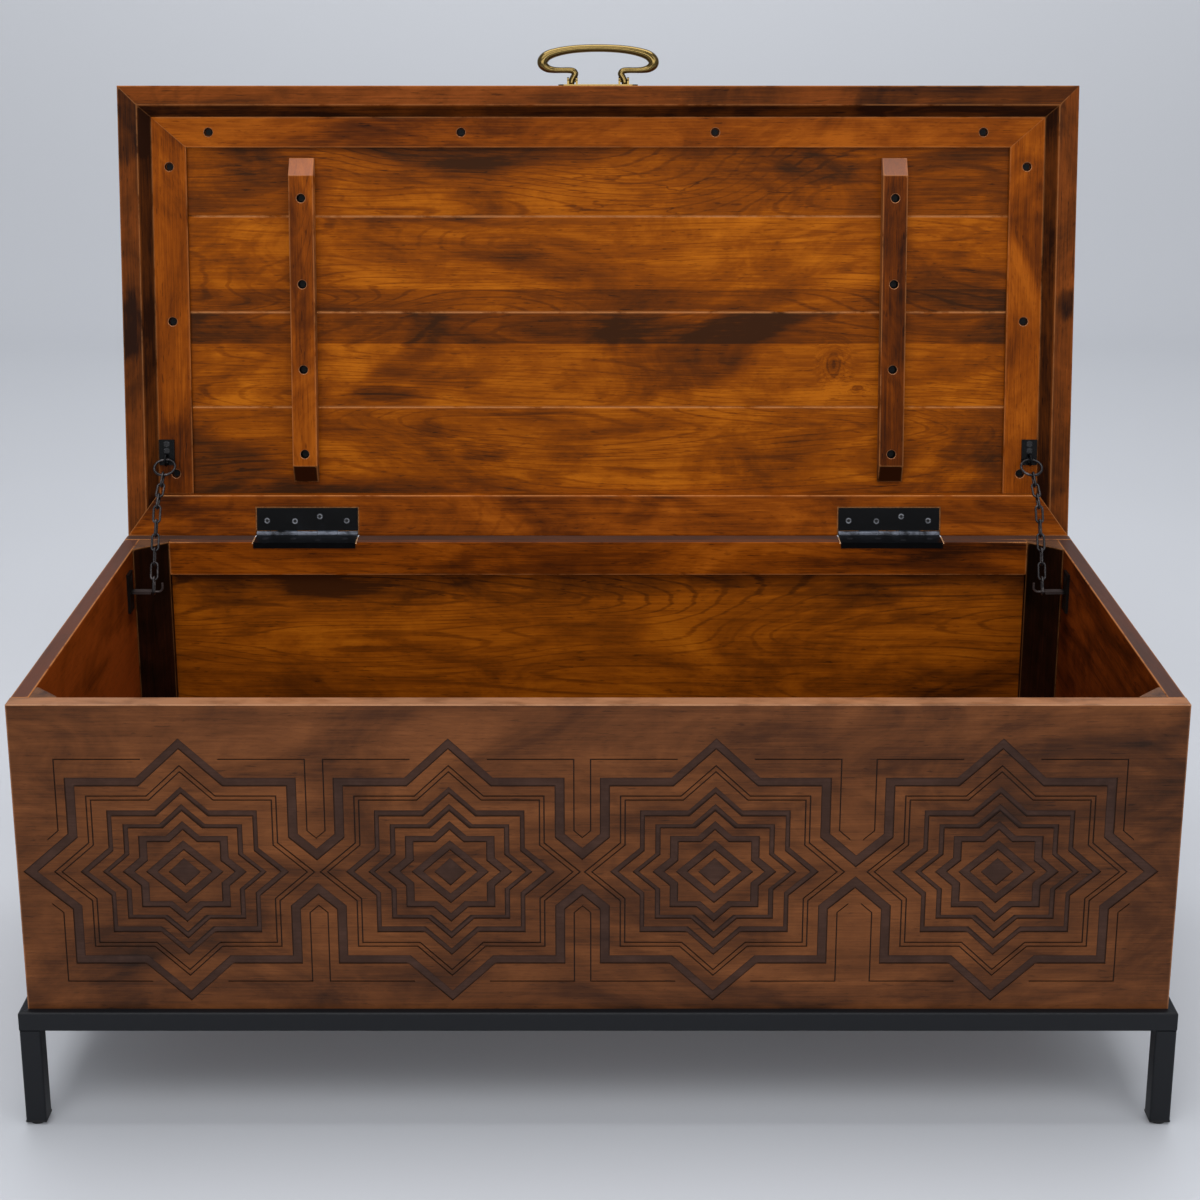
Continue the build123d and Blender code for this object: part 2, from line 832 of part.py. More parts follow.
def chain_link(edge_on):
    """A round ended loop along +X with its far wire's middle at the origin."""
    half = (link_pitch + link_pull()) / 2
    side = half - link_half_width
    wire = chain_wire / 2
    loop = None
    for sign in (1, -1):
        bar = rod((-side, sign * link_half_width, 0), (side, sign * link_half_width, 0), wire)
        ring = Torus(link_half_width, wire)
        keep = Pos(sign * half, 0, 0) * Box(2 * half, 4 * half, 4 * half)
        end = Pos(sign * side, 0, 0) * (ring & keep)
        loop = bar + end if loop is None else loop + bar + end
    loop = Pos(-half, 0, 0) * loop
    if edge_on:
        return loop
    return loop.rotate(Axis.X, 90)


def placed_on_run(shape, start, along):
    """Move a loop drawn along +X onto a run, along mm from its start."""
    y, z, angle = start
    rise = (0, cos(radians(angle)), sin(radians(angle)))
    plane = Plane(origin=(chain_offset, y, z), x_dir=rise, z_dir=(1, 0, 0))
    return plane * (Pos(along, 0, 0) * shape)


def chain_run(index):
    """The links of one stiff run, edge on and face on by turns."""
    start = run_starts()[index]
    links = []
    for step in range(links_per_run):
        number = index * links_per_run + step
        edge_on = number % 2 == 0
        along = (step + 1) * link_pitch
        if index == 1:
            along = along + link_pull()
        links.append(placed_on_run(chain_link(edge_on), start, along))
    return group(links)


def chain_ring():
    """The round ring between the last link and the lid hook."""
    start = run_starts()[2]
    ring = Torus(ring_radius, ring_wire / 2).rotate(Axis.X, 90)
    centre = links_per_run * link_pitch - link_pull() + ring_radius
    return placed_on_run(ring, start, centre)


def bracket_screws():
    """The two screws of the right wall bracket, driven sideways into the wall."""
    y, z, _ = run_starts()[0]
    reach = bracket_height / 2 - bracket_screw_margin
    turn = Axis((side_inside, y, z), (0, 1, 0))
    screws = []
    for shift in (-reach, reach):
        pieces = plate_screw(side_inside + shift, y, z + bracket_thickness)
        screws.append(tuple(piece.rotate(turn, -90) for piece in pieces))
    return screws


def chain_bracket():
    """The right wall bracket: a plate and a flat strip that ends in a wire turned up."""
    y, z, _ = run_starts()[0]
    half = bracket_width / 2
    tall = bracket_height / 2
    inner = side_inside - bracket_thickness
    plate = block(inner, side_inside, y - half, y + half, z - tall, z + tall)
    wire = bracket_arm_wire / 2
    strip_end = chain_offset + bracket_strip_gap
    strip_half = bracket_strip_width / 2
    strip_rise = bracket_strip_thickness / 2
    strip = block(strip_end, inner, y - strip_half, y + strip_half, z - strip_rise, z + strip_rise)
    bend = 2 * bracket_arm_wire
    arm_x = chain_offset - bracket_arm_end / 2
    arm = rod((strip_end + wire, y, z), (arm_x, y, z), wire)
    corner = Pos(arm_x, y, z + bend) * Torus(bend, wire).rotate(Axis.X, 90)
    quarter = block(arm_x - 2 * bend, arm_x, y - bend, y + bend, z - bend, z + bend)
    tip = rod((arm_x - bend, y, z + bend), (arm_x - bend, y, z + 2 * bend), wire)
    body = plate + strip + arm + (corner & quarter) + tip
    for screw in bracket_screws():
        body = body - screw_hole(screw)
    return body


# ---------------------------------------------------------------- handle
def handle_pivot():
    """Y and Z of the bail's pivot on the shut lid."""
    return -half_depth - handle_pivot_height, lid_z(lid_thickness / 2)


def handle_screws():
    """The two screws of the handle plate, driven into the lid's front edge."""
    edge = -half_depth - handle_plate_thickness
    z = lid_z(lid_thickness / 2)
    reach = handle_plate_length / 2 - handle_screw_margin
    turn = Axis((0, edge, z), (1, 0, 0))
    screws = []
    for x in (-reach, reach):
        pieces = plate_screw(x, edge, z)
        screws.append(tuple(piece.rotate(turn, 90) for piece in pieces))
    return screws


def handle_cheeks():
    """The four ears of the handle plate."""
    y, z = handle_pivot()
    edge = -half_depth
    half_foot = handle_foot_length / 2 + handle_cheek_gap
    ears = []
    for foot in (-handle_foot_offset, handle_foot_offset):
        for side in (-1, 1):
            near = foot + side * half_foot
            far = near + side * handle_cheek_thickness
            low, high = min(near, far), max(near, far)
            disc = rod((low, y, z), (high, y, z), handle_cheek_radius)
            web = block(low, high, y, edge, z - handle_cheek_radius, z + handle_cheek_radius)
            ears.append(disc + web)
    return ears


def handle_plate():
    """The brass plate on the lid's front edge with its ears."""
    z = lid_z(lid_thickness / 2)
    front = -half_depth - handle_plate_thickness
    face = Plane(origin=(0, front, z), x_dir=(1, 0, 0), z_dir=(0, 1, 0))
    outline = face * SlotOverall(handle_plate_length, handle_plate_width)
    body = extrude(outline, handle_plate_thickness, dir=(0, 1, 0))
    for ear in handle_cheeks():
        body = body + ear
    for screw in handle_screws():
        body = body - screw_hole(screw)
    return body - handle_pin_cut(screw_fit)


def handle_pin_spans():
    """Start and end of each bail pin along X."""
    half = handle_foot_length / 2 + handle_cheek_gap + handle_cheek_thickness
    return [(foot - half, foot + half) for foot in (-handle_foot_offset, handle_foot_offset)]


def handle_pin_cut(extra):
    """The bail pins, or their bores when extra is their clearance."""
    y, z = handle_pivot()
    radius = handle_pin_radius + extra
    pins = [rod((low, y, z), (high, y, z), radius) for low, high in handle_pin_spans()]
    return pins[0] + pins[1]


def bail_neck():
    """The thin right neck: up from the foot, leaning in, then bent out to the taper."""
    knee = handle_foot_offset - handle_neck_lean
    points = [(handle_foot_offset, 0), (handle_foot_offset, handle_neck_rise)]
    points += [(knee, handle_shoulder_height), (handle_taper_start, handle_shoulder_height)]
    path = FilletPolyline(*points, radius=[handle_neck_bend, handle_neck_bend])
    section = Plane(origin=path @ 0, z_dir=path % 0) * Circle(handle_neck_radius)
    return sweep(section, path=path)


def bail_taper():
    """The stretch where the right side of the bail swells from neck to arch."""
    middle = handle_taper_start + handle_taper_length / 2
    cone = Cone(handle_neck_radius, handle_arch_radius, handle_taper_length)
    return Pos(middle, handle_shoulder_height) * cone.rotate(Axis.Y, 90)


def bail_arch():
    """The right end's round turn and half the arch, one arc running into the other."""
    turn_x = handle_half_width - handle_end_radius
    spare = handle_arch_height - handle_shoulder_height - 2 * handle_end_radius
    turn = 2 * atan2(turn_x, spare)
    rise_x = turn_x + handle_end_radius * sin(turn)
    taper_end = (handle_taper_start + handle_taper_length, handle_shoulder_height)
    straight = Line(taper_end, (turn_x, handle_shoulder_height))
    end = JernArc(straight @ 1, straight % 1, handle_end_radius, degrees(turn))
    arch = JernArc(end @ 1, end % 1, rise_x / sin(turn), 180 - degrees(turn))
    path = straight + end + arch
    section = Plane(origin=path @ 0, z_dir=path % 0) * Circle(handle_arch_radius)
    return sweep(section, path=path)


def bail_half():
    """The right half of the bail, thin at the foot and thick in the arch."""
    y, z = handle_pivot()
    upright = Plane(origin=(0, y, z), x_dir=(1, 0, 0), z_dir=(0, 0, -1))
    return upright * (bail_neck() + bail_taper() + bail_arch())


def handle_bail():
    """The brass bail, standing straight out from the lid's edge."""
    y, z = handle_pivot()
    side = bail_half()
    body = side + mirrored(side)
    half = handle_foot_length / 2
    for foot in (-handle_foot_offset, handle_foot_offset):
        body = body + rod((foot - half, y, z), (foot + half, y, z), handle_foot_radius)
    return body - handle_pin_cut(pin_running_fit)


# ---------------------------------------------------------------- stand
def rail_section(outer, inward):
    """Section of a stand rail, from its outer face inward, as outline and bore."""
    low = base_height - rail_height
    inner = outer + inward * rail_depth
    outline = [(outer, low), (inner, low), (inner, base_height), (outer, base_height)]
    near = outer + inward * tube_wall
    far = inner - inward * tube_wall
    floor = low + tube_wall
    roof = base_height - tube_wall
    bore = [(near, floor), (far, floor), (far, roof), (near, roof)]
    return outline, bore


def base_rail_long():
    """The stand's front rail before its screw holes, mitred at both ends."""
    outer_x = half_width + base_overhang
    outer_y = -half_depth - base_overhang
    outline, bore = rail_section(outer_y, 1)
    tube = prism_x(outline, -outer_x, outer_x) - prism_x(bore, -outer_x, outer_x)
    plan = mitred_plan(outer_x, outer_y, outer_x - rail_depth, outer_y + rail_depth)
    return tube & prism_z(plan, base_height - rail_height, base_height)


def base_rail_side():
    """The right rail of the stand, mitred at both ends."""
    outer_x = half_width + base_overhang
    outer_y = half_depth + base_overhang
    outline, bore = rail_section(outer_x, -1)
    tube = prism_y(outline, -outer_y, outer_y) - prism_y(bore, -outer_y, outer_y)
    inner_x = outer_x - rail_depth
    inner_y = outer_y - rail_depth
    plan = [(outer_x, -outer_y), (outer_x, outer_y), (inner_x, inner_y), (inner_x, -inner_y)]
    rail = tube & prism_z(plan, base_height - rail_height, base_height)
    return rail - base_screw_holes()


def leg_centre():
    """X and Y of the right front leg's middle."""
    x = half_width + base_overhang - leg_size / 2
    y = -half_depth - base_overhang + leg_size / 2
    return x, y


def base_leg():
    """The right front leg, a square tube under the rails' corner."""
    x, y = leg_centre()
    half = leg_size / 2
    inner = half - tube_wall
    top = base_height - rail_height
    outside = block(x - half, x + half, y - half, y + half, glide_height, top)
    bore = block(x - inner, x + inner, y - inner, y + inner, glide_height, top)
    return outside - bore


def leg_glide():
    """A plastic foot pressed into the right front leg."""
    x, y = leg_centre()
    half = leg_size / 2
    inner = half - tube_wall - glide_plug_fit
    disc_height = glide_height - glide_flange
    disc = Pos(x, y, disc_height / 2) * Cylinder(glide_radius, disc_height)
    flange = block(x - half, x + half, y - half, y + half, disc_height, glide_height)
    plug_top = glide_height + glide_plug_length
    plug = block(x - inner, x + inner, y - inner, y + inner, glide_height, plug_top)
    return disc + flange + plug


def base_crossbars():
    """Two flat bars across the stand under the box's bottom."""
    reach = half_depth + base_overhang - rail_depth
    half = crossbar_width / 2
    low = base_height - crossbar_thickness
    return group([
        block(x - half, x + half, -reach, reach, low, base_height)
        for x in (-crossbar_offset, crossbar_offset)
    ])


def base_screw_places():
    """X and Y of the screws that hold the box to the stand."""
    front_line = -half_depth + front_thickness / 2
    back_line = half_depth - back_thickness / 2
    side_line = half_width - side_thickness / 2
    columns = (base_screw_end_distance - half_width, 0, half_width - base_screw_end_distance)
    places = [(x, y) for x in columns for y in (front_line, back_line)]
    return places + [(-side_line, 0), (side_line, 0)]


def base_screws():
    """The screws up through the stand's rails, heads inside the tubes."""
    screws = []
    seat = base_height - tube_wall
    for x, y in base_screw_places():
        head_middle = seat - base_screw_head_height / 2
        head = Pos(x, y, head_middle) * Cylinder(base_screw_head_radius, base_screw_head_height)
        shank_middle = seat + base_screw_bite / 2
        shank = Pos(x, y, shank_middle) * Cylinder(base_screw_shank_radius, base_screw_bite)
        slot_middle = Pos(x, y, seat - base_screw_head_height)
        slot = slot_middle * Box(2 * base_screw_head_radius, slot_width, 2 * slot_depth)
        screws.append(head + shank - slot)
    return group(screws)


def base_screw_holes():
    """Screw holes up into the box and access holes in the rails' undersides."""
    holes = None
    seat = base_height - tube_wall
    for x, y in base_screw_places():
        length = base_screw_bite + screw_fit
        hole = Pos(x, y, seat + length / 2) * Cylinder(base_screw_shank_radius + screw_fit, length)
        low = base_height - rail_height
        access = Pos(x, y, low + tube_wall / 2) * Cylinder(base_screw_access_radius, tube_wall)
        pair = hole + access
        holes = pair if holes is None else holes + pair
    return holes


# ---------------------------------------------------------------- assembly
def front_to_back(shape):
    """The same stand piece at the other end of the depth."""
    return mirror(shape, about=Plane.XZ)


def box_nodes():
    """Every piece of the wooden box."""
    side = side_panel()
    post_back = corner_post_back()
    post_front = corner_post_front()
    return {
        "front_panel": front_panel(),
        "back_panel": back_panel(),
        "side_panel_right": side,
        "side_panel_left": mirrored(side),
        "floor_panel": floor_panel(),
        "floor_cleats": floor_cleats(),
        "back_top_rail": back_top_rail(),
        "corner_post_back_right": post_back,
        "corner_post_back_left": mirrored(post_back),
        "corner_post_front_right": post_front,
        "corner_post_front_left": mirrored(post_front),
    }


def stand_nodes():
    """Every piece of the steel stand."""
    rail = base_rail_long()
    holes = base_screw_holes()
    rail_side = base_rail_side()
    leg = base_leg()
    leg_back = front_to_back(leg)
    glide = leg_glide()
    glide_back = front_to_back(glide)
    return {
        "base_rail_front": rail - holes,
        "base_rail_back": front_to_back(rail) - holes,
        "base_rail_right": rail_side,
        "base_rail_left": mirrored(rail_side),
        "base_leg_front_right": leg,
        "base_leg_front_left": mirrored(leg),
        "base_leg_back_right": leg_back,
        "base_leg_back_left": mirrored(leg_back),
        "leg_glides": group([glide, mirrored(glide), glide_back, mirrored(glide_back)]),
        "base_crossbars": base_crossbars(),
        "base_screws": base_screws(),
    }


def lid_nodes():
    """Every wooden piece of the lid with its screws, drawn shut."""
    rim = lid_rim_side()
    strip = lid_frame_side()
    nodes = {
        "lid_rim_front": lid_rim_front() - handle_screw_holes(),
        "lid_rim_right": rim,
        "lid_rim_left": mirrored(rim),
        "lid_hinge_rail": lid_hinge_rail(),
        "lid_frame_front": lid_frame_front(),
        "lid_frame_right": strip,
        "lid_frame_left": mirrored(strip),
    }
    for index in range(len(plank_edges()) - 1):
        nodes[f"lid_plank_{index + 1}"] = lid_plank(index)
    nodes["lid_batten_right"] = lid_batten(batten_offset)
    nodes["lid_batten_left"] = lid_batten(-batten_offset)
    screws = lid_frame_screws() + batten_wood_screws()
    nodes["lid_screws"] = group([screw[0] for screw in screws])
    return nodes


def handle_screw_holes():
    """The handle screws' holes in the lid's front edge."""
    holes = [screw[1] for screw in handle_screws()]
    return holes[0] + holes[1]


def hardware_nodes():
    """Hinges, chain plates and the handle, the lid's own pieces drawn shut."""
    plate = chain_plate()
    fixed = {
        "hinge_box_leaf_left": box_leaf(-hinge_offset),
        "hinge_box_leaf_right": box_leaf(hinge_offset),
        "hinge_pins": hinge_pins(),
    }
    bracket = chain_bracket()
    fixed["chain_bracket_right"] = bracket
    fixed["chain_bracket_left"] = mirrored(bracket)
    wall_screws = [screw[0] for screw in bracket_screws()]
    wall_screws += [mirrored(screw) for screw in wall_screws]
    hinge_screws = [screw[0] for screw in box_hinge_screws()]
    fixed["box_hardware_screws"] = group(hinge_screws + wall_screws)
    on_lid_screws = lid_hinge_screws() + chain_plate_screws()
    on_lid = {
        "hinge_lid_leaf_left": lid_leaf(-hinge_offset),
        "hinge_lid_leaf_right": lid_leaf(hinge_offset),
        "chain_plate_right": plate,
        "chain_plate_left": mirrored(plate),
        "lid_hardware_screws": group([screw[0] for screw in on_lid_screws]),
        "handle_plate": handle_plate(),
        "handle_pins": group([handle_pin_cut(0)]),
        "handle_screws": group([screw[0] for screw in handle_screws()]),
        "handle_bail": handle_bail(),
    }
    return fixed, on_lid


def chain_nodes():
    """The two chains with their rings, where they hang on the open lid."""
    nodes = {}
    for index, name in enumerate(("low", "mid", "high")):
        run = chain_run(index)
        nodes[f"chain_{name}_right"] = run
        nodes[f"chain_{name}_left"] = mirrored(run)
    ring = chain_ring()
    nodes["chain_ring_right"] = ring
    nodes["chain_ring_left"] = mirrored(ring)
    return nodes


def chest():
    """Every node of the open chest, by name."""
    fixed, on_lid = hardware_nodes()
    on_lid.update(lid_nodes())
    nodes = dict(box_nodes())
    nodes.update(stand_nodes())
    nodes.update(fixed)
    nodes.update({name: opened(shape) for name, shape in on_lid.items()})
    nodes.update(chain_nodes())
    return nodes


for name, shape in chest().items():
    placed = Compound(shape.solids()).moved(Location((0, origin_shift, 0)))
    export_step(placed, f"parts/{name}.step")
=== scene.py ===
"""Looks of a wooden dowry chest: stained boards, a carved front, black iron and a brass handle."""

import json
import logging
import math
from dataclasses import dataclass, field, replace
from enum import Enum
from functools import reduce
from typing import Any, Optional, Sequence, Union

import bpy
import numpy as np
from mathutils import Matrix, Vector


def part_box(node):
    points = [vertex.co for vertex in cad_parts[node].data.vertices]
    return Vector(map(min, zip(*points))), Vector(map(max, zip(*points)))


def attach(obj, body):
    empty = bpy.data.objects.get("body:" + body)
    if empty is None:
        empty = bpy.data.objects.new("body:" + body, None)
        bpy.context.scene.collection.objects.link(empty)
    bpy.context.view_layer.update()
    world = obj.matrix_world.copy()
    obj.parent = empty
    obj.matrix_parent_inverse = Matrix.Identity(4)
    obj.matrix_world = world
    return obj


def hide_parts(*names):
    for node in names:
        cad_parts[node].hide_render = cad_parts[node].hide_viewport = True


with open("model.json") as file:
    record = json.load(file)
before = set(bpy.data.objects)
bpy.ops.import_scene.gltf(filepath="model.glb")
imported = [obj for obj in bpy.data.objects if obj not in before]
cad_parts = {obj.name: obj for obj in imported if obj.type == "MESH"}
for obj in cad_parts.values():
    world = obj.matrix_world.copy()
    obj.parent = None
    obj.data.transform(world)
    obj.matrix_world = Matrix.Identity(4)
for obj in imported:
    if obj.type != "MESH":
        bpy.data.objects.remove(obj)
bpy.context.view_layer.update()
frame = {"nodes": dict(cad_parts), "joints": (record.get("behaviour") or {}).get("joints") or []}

LOG = logging.getLogger("chest")
MM = 0.001
SIDES = ((1, "right"), (-1, "left"))
MICROMETRES = 1e6
PLACE_PRIMES = (73856093, 19349663, 83492791)
SHARP_ANGLE = math.radians(38)


# ------------------------------------------------------------------ the chest's own places
@dataclass(frozen=True)
class Lean:
    """The open lid's own frame: the hinge line and the angle the lid is open at.

    A point of the shut lid is given by X, its distance behind the front edge and its height
    above the lid's underside.
    """

    hinge_y: float
    hinge_z: float
    angle: float
    front_y: float
    under_z: float

    def place(self, points: np.ndarray) -> np.ndarray:
        """Turn points of the shut lid about the hinge line to where the open lid has them.

        Args:
            points: rows of X, distance from the front edge and height in the lid, in metres.

        Returns:
            The same points in the chest's frame.
        """
        across = self.front_y + points[:, 1] - self.hinge_y
        rise = self.under_z + points[:, 2] - self.hinge_z
        c, s = math.cos(-self.angle), math.sin(-self.angle)
        y = self.hinge_y + across * c - rise * s
        z = self.hinge_z + across * s + rise * c
        return np.column_stack([points[:, 0], y, z])

    def shut(self) -> tuple[float, float, float]:
        """What is added to a point of the open lid, turned back, for its numbers in the lid."""
        c, s = math.cos(self.angle), math.sin(self.angle)
        y = self.hinge_y * c - self.hinge_z * s + self.front_y - self.hinge_y
        z = self.hinge_y * s + self.hinge_z * c + self.under_z - self.hinge_z
        return 0.0, -y, -z


def hinge_joint() -> dict[str, Any]:
    """The record's joint between the chest and its lid."""
    return next(joint for joint in frame["joints"] if joint["name"] == "lid_hinge")


@dataclass(frozen=True)
class Sizes:
    """The chest's sizes, in metres, read from the frame's nodes where they can be."""

    front: Any = field(default_factory=lambda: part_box("front_panel"))
    back: Any = field(default_factory=lambda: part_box("back_panel"))
    side: Any = field(default_factory=lambda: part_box("side_panel_right"))
    rail: Any = field(default_factory=lambda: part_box("base_rail_front"))
    lid_gap: float = 0.6 * MM
    lid_thickness: float = 38 * MM
    plank_thickness: float = 18 * MM
    plank_edges: tuple[float, ...] = (0.0, 149 * MM, 260.2 * MM, 371.4 * MM, 521 * MM)
    rim_face: float = 22 * MM
    rim_slope_run: float = 13 * MM
    rim_slope_drop: float = 14 * MM
    rail_line: float = 473 * MM
    frame_thickness: float = 6 * MM
    frame_front_width: float = 35 * MM
    frame_side_width: float = 40 * MM

    batten_middle: float = 342 * MM
    batten_width: float = 28.5 * MM
    batten_start: float = 82 * MM
    batten_end: float = 459 * MM
    batten_thickness: float = 18 * MM
    batten_bevel_run: float = 20 * MM
    batten_bevel_drop: float = 11 * MM
    well_radius: float = 5.0 * MM
    frame_front_screws: tuple[float, ...] = (-449 * MM, -158 * MM, 135 * MM, 444 * MM)
    frame_side_screws: tuple[float, ...] = (92 * MM, 270.75 * MM, 449.5 * MM)
    batten_screws: tuple[float, ...] = (128 * MM, 227 * MM, 326 * MM, 425 * MM)
    hinge_middle: float = 340 * MM
    hinge_mortise_half: float = 60.5 * MM
    lid_leaf_line: float = 486.4 * MM
    leaf_thickness: float = 2 * MM
    knuckle_line: float = 514.6 * MM
    knuckle_room: float = 3.7 * MM

    @property
    def half_width(self) -> float:
        """Half the width of the wooden box."""
        return self.front[1].x

    @property
    def top(self) -> float:
        """Height of the box's open edge."""
        return self.front[1].z

    @property
    def rim_width(self) -> float:
        """Width of the lid's rim, its sloped inside included."""
        return self.rim_face + self.rim_slope_run

    @property
    def lid_depth(self) -> float:
        """Depth of the lid, its back overhang included."""
        return self.plank_edges[-1]

    @property
    def rim_depth(self) -> float:
        """How far the rim stands below the planks."""
        return self.lid_thickness - self.plank_thickness

    def hinge_middles(self) -> tuple[float, float]:
        """The middles of the left and the right hinge."""
        return -self.hinge_middle, self.hinge_middle

    def lean(self) -> Lean:
        """The open lid's own frame."""
        joint = hinge_joint()
        _, y, z = joint["pos_m"]
        angle = math.radians(joint["range_deg"][1])
        return Lean(y, z, angle, self.front[0].y, self.top + self.lid_gap)


SIZES = Sizes()
LEAN = SIZES.lean()


# ------------------------------------------------------------------ shader expressions
Value = Union["Socket", float, int, tuple]
MIX_COLOUR_INPUTS = (0, 6, 7)
MIX_COLOUR_OUTPUT = 2


class Socket:
    """An output of a material's node that Python expressions can be written with."""

    def __init__(self, graph: "Graph", output: bpy.types.NodeSocket) -> None:
        """Keep the graph the output belongs to."""
        self.graph = graph
        self.output = output

    def _math(self, operation: str, *values: Value) -> "Socket":
        """One Math node on this graph."""
        return self.graph.node("ShaderNodeMath", {"operation": operation}, list(values))

    def __add__(self, other: Value) -> "Socket":
        """Sum."""
        return self._math("ADD", self, other)

    __radd__ = __add__

    def __sub__(self, other: Value) -> "Socket":
        """Difference."""
        return self._math("SUBTRACT", self, other)

    def __rsub__(self, other: Value) -> "Socket":
        """Difference with this socket taken away."""
        return self._math("SUBTRACT", other, self)

    def __mul__(self, other: Value) -> "Socket":
        """Product."""
        return self._math("MULTIPLY", self, other)

    __rmul__ = __mul__

    def __truediv__(self, other: Value) -> "Socket":
        """Quotient."""
        return self._math("DIVIDE", self, other)

    def __pow__(self, other: Value) -> "Socket":
        """Power."""
        return self._math("POWER", self, other)

    def __abs__(self) -> "Socket":
        """Size without sign."""
        return self._math("ABSOLUTE", self)

    def at_least(self, other: Value) -> "Socket":
        """The larger of two values."""
        return self._math("MAXIMUM", self, other)

    def at_most(self, other: Value) -> "Socket":
        """The smaller of two values."""
        return self._math("MINIMUM", self, other)

    def centred(self) -> "Socket":
        """A noise's value less 0.5, its own middle."""
        return self - 0.5

    def sine(self) -> "Socket":
        """Sine of the value."""
        return self._math("SINE", self)

    def ramp(self, low: float, high: float) -> "Socket":
        """Rise smoothly from 0 at low to 1 at high.

        Args:
            low: the value that gives 0.
            high: the value that gives 1; below low, the rise is turned round.

        Returns:
            The eased share.
        """
        settings = {"interpolation_type": "SMOOTHSTEP", "clamp": True}
        values = [self, min(low, high), max(low, high), 0.0, 1.0]
        eased = self.graph.node("ShaderNodeMapRange", settings, values)
        return eased if high > low else 1 - eased


class Graph:
    """A material's node tree, written in expressions."""

    def __init__(self, name: str) -> None:
        """Make an empty material with a Principled shader."""
        self.material = bpy.data.materials.new(name)
        self.material.use_nodes = True
        self.tree = self.material.node_tree
        self.shader = self.tree.nodes["Principled BSDF"]
        self.position = self.node("ShaderNodeTexCoord", {}, [], output="Object")

    def node(
        self,
        kind: str,
        settings: dict[str, Any],
        inputs: Union[Sequence[Value], dict[str, Value]],
        output: Union[int, str] = 0,
    ) -> Socket:
        """Add any node.

        Args:
            kind: the node's type.
            settings: its properties, set before its sockets; "stops" fills a colour ramp.
            inputs: values or links of its sockets, in order or by name.
            output: which output is wanted.

        Returns:
            That output.
        """
        made = self.tree.nodes.new(kind)
        for key, value in settings.items():
            if key == "stops":
                self._fill_ramp(made, value)
            else:
                setattr(made, key, value)
        pairs = inputs.items() if isinstance(inputs, dict) else enumerate(inputs)
        for key, value in pairs:
            self.connect(made.inputs[key], value)
        return Socket(self, made.outputs[output])

    def _fill_ramp(self, made: bpy.types.Node, stops: Sequence[tuple[float, tuple]]) -> None:
        """Give a colour ramp its stops.

        Args:
            made: the ramp's node.
            stops: each colour with its place, in order.
        """
        ramp = made.color_ramp
        while len(ramp.elements) < len(stops):
            ramp.elements.new(1.0)
        for element, (place, colour) in zip(ramp.elements, stops):
            element.position = place
            element.color = (*colour, 1.0)

    def connect(self, socket: bpy.types.NodeSocket, value: Value) -> None:
        """Link a socket to another node, or set its number or colour."""
        if isinstance(value, Socket):
            self.tree.links.new(value.output, socket)
        elif isinstance(value, tuple) and socket.type == "RGBA":
            socket.default_value = (*value[:3], 1.0)
        else:
            socket.default_value = value

    def mix(self, share: Value, first: Value, second: Value) -> Socket:
        """Mix two colours.

        Args:
            share: how much of the second colour shows, 0 to 1.
            first: the colour at 0.
            second: the colour at 1.

        Returns:
            The mixed colour.
        """
        made = self.tree.nodes.new("ShaderNodeMix")
        made.data_type = "RGBA"
        made.clamp_factor = True
        for number, value in zip(MIX_COLOUR_INPUTS, (share, first, second)):
            self.connect(made.inputs[number], value)
        return Socket(self, made.outputs[MIX_COLOUR_OUTPUT])

    def stretched(self, place: Socket, scale: tuple[float, float, float]) -> Socket:
        """A place multiplied axis by axis."""
        return self.node("ShaderNodeVectorMath", {"operation": "MULTIPLY"}, [place, scale])

    def noise(
        self,
        place: Socket,
        scale: tuple[float, float, float],
        detail: float,
        roughness: float,
        distortion: float,
    ) -> Socket:
        """Soft noise, about 0.3 to 0.7.

        Args:
            place: where it is read.
            scale: its repeats per metre, axis by axis.
            detail: how many finer layers it has.
            roughness: how strong the finer layers are.
            distortion: how far it is bent.

        Returns:
            The noise.
        """
        values = {
            "Vector": self.stretched(place, scale),
            "Scale": 1.0,
            "Detail": detail,
            "Roughness": roughness,
            "Distortion": distortion,
        }
        return self.node("ShaderNodeTexNoise", {"normalize": True}, values)

    def split(self, place: Socket) -> tuple[Socket, Socket, Socket]:
        """The three parts of a vector."""
        x = self.node("ShaderNodeSeparateXYZ", {}, [place])
        outputs = x.output.node.outputs
        return x, Socket(self, outputs[1]), Socket(self, outputs[2])

    def attribute(self, name: str) -> Socket:
        """A number kept on the mesh's own points."""
        settings = {"attribute_type": "GEOMETRY", "attribute_name": name}
        return self.node("ShaderNodeAttribute", settings, [], output="Fac")

    def bump(self, height: Socket, strength: float, depth: float) -> None:
        """Raise the surface by a height.

        Args:
            height: the relief, 0 to 1.
            strength: how much of it shows.
            depth: its height at 1, in metres.
        """
        values = {"Strength": strength, "Distance": depth, "Height": height}
        self.connect(self.shader.inputs["Normal"], self.node("ShaderNodeBump", {}, values))

    def surface(self, **values: Value) -> None:
        """Set or link the shader's sockets, named with _ for a space."""
        for key, value in values.items():
            self.connect(self.shader.inputs[key.replace("_", " ")], value)


def tone(red: float, green: float, blue: float) -> tuple[float, float, float]:
    """A colour as the linear light a shader takes, from screen values 0 to 255.

    The screen's own curve is undone: a straight part near black and a power of 2.4 above it.
    """
    share = np.array([red, green, blue]) / 255.0
    linear = np.where(share <= 0.04045, share / 12.92, ((share + 0.055) / 1.055) ** 2.4)
    return float(linear[0]), float(linear[1]), float(linear[2])


# ------------------------------------------------------------------ finishes
Colour = tuple[float, float, float]
Span = tuple[float, float]


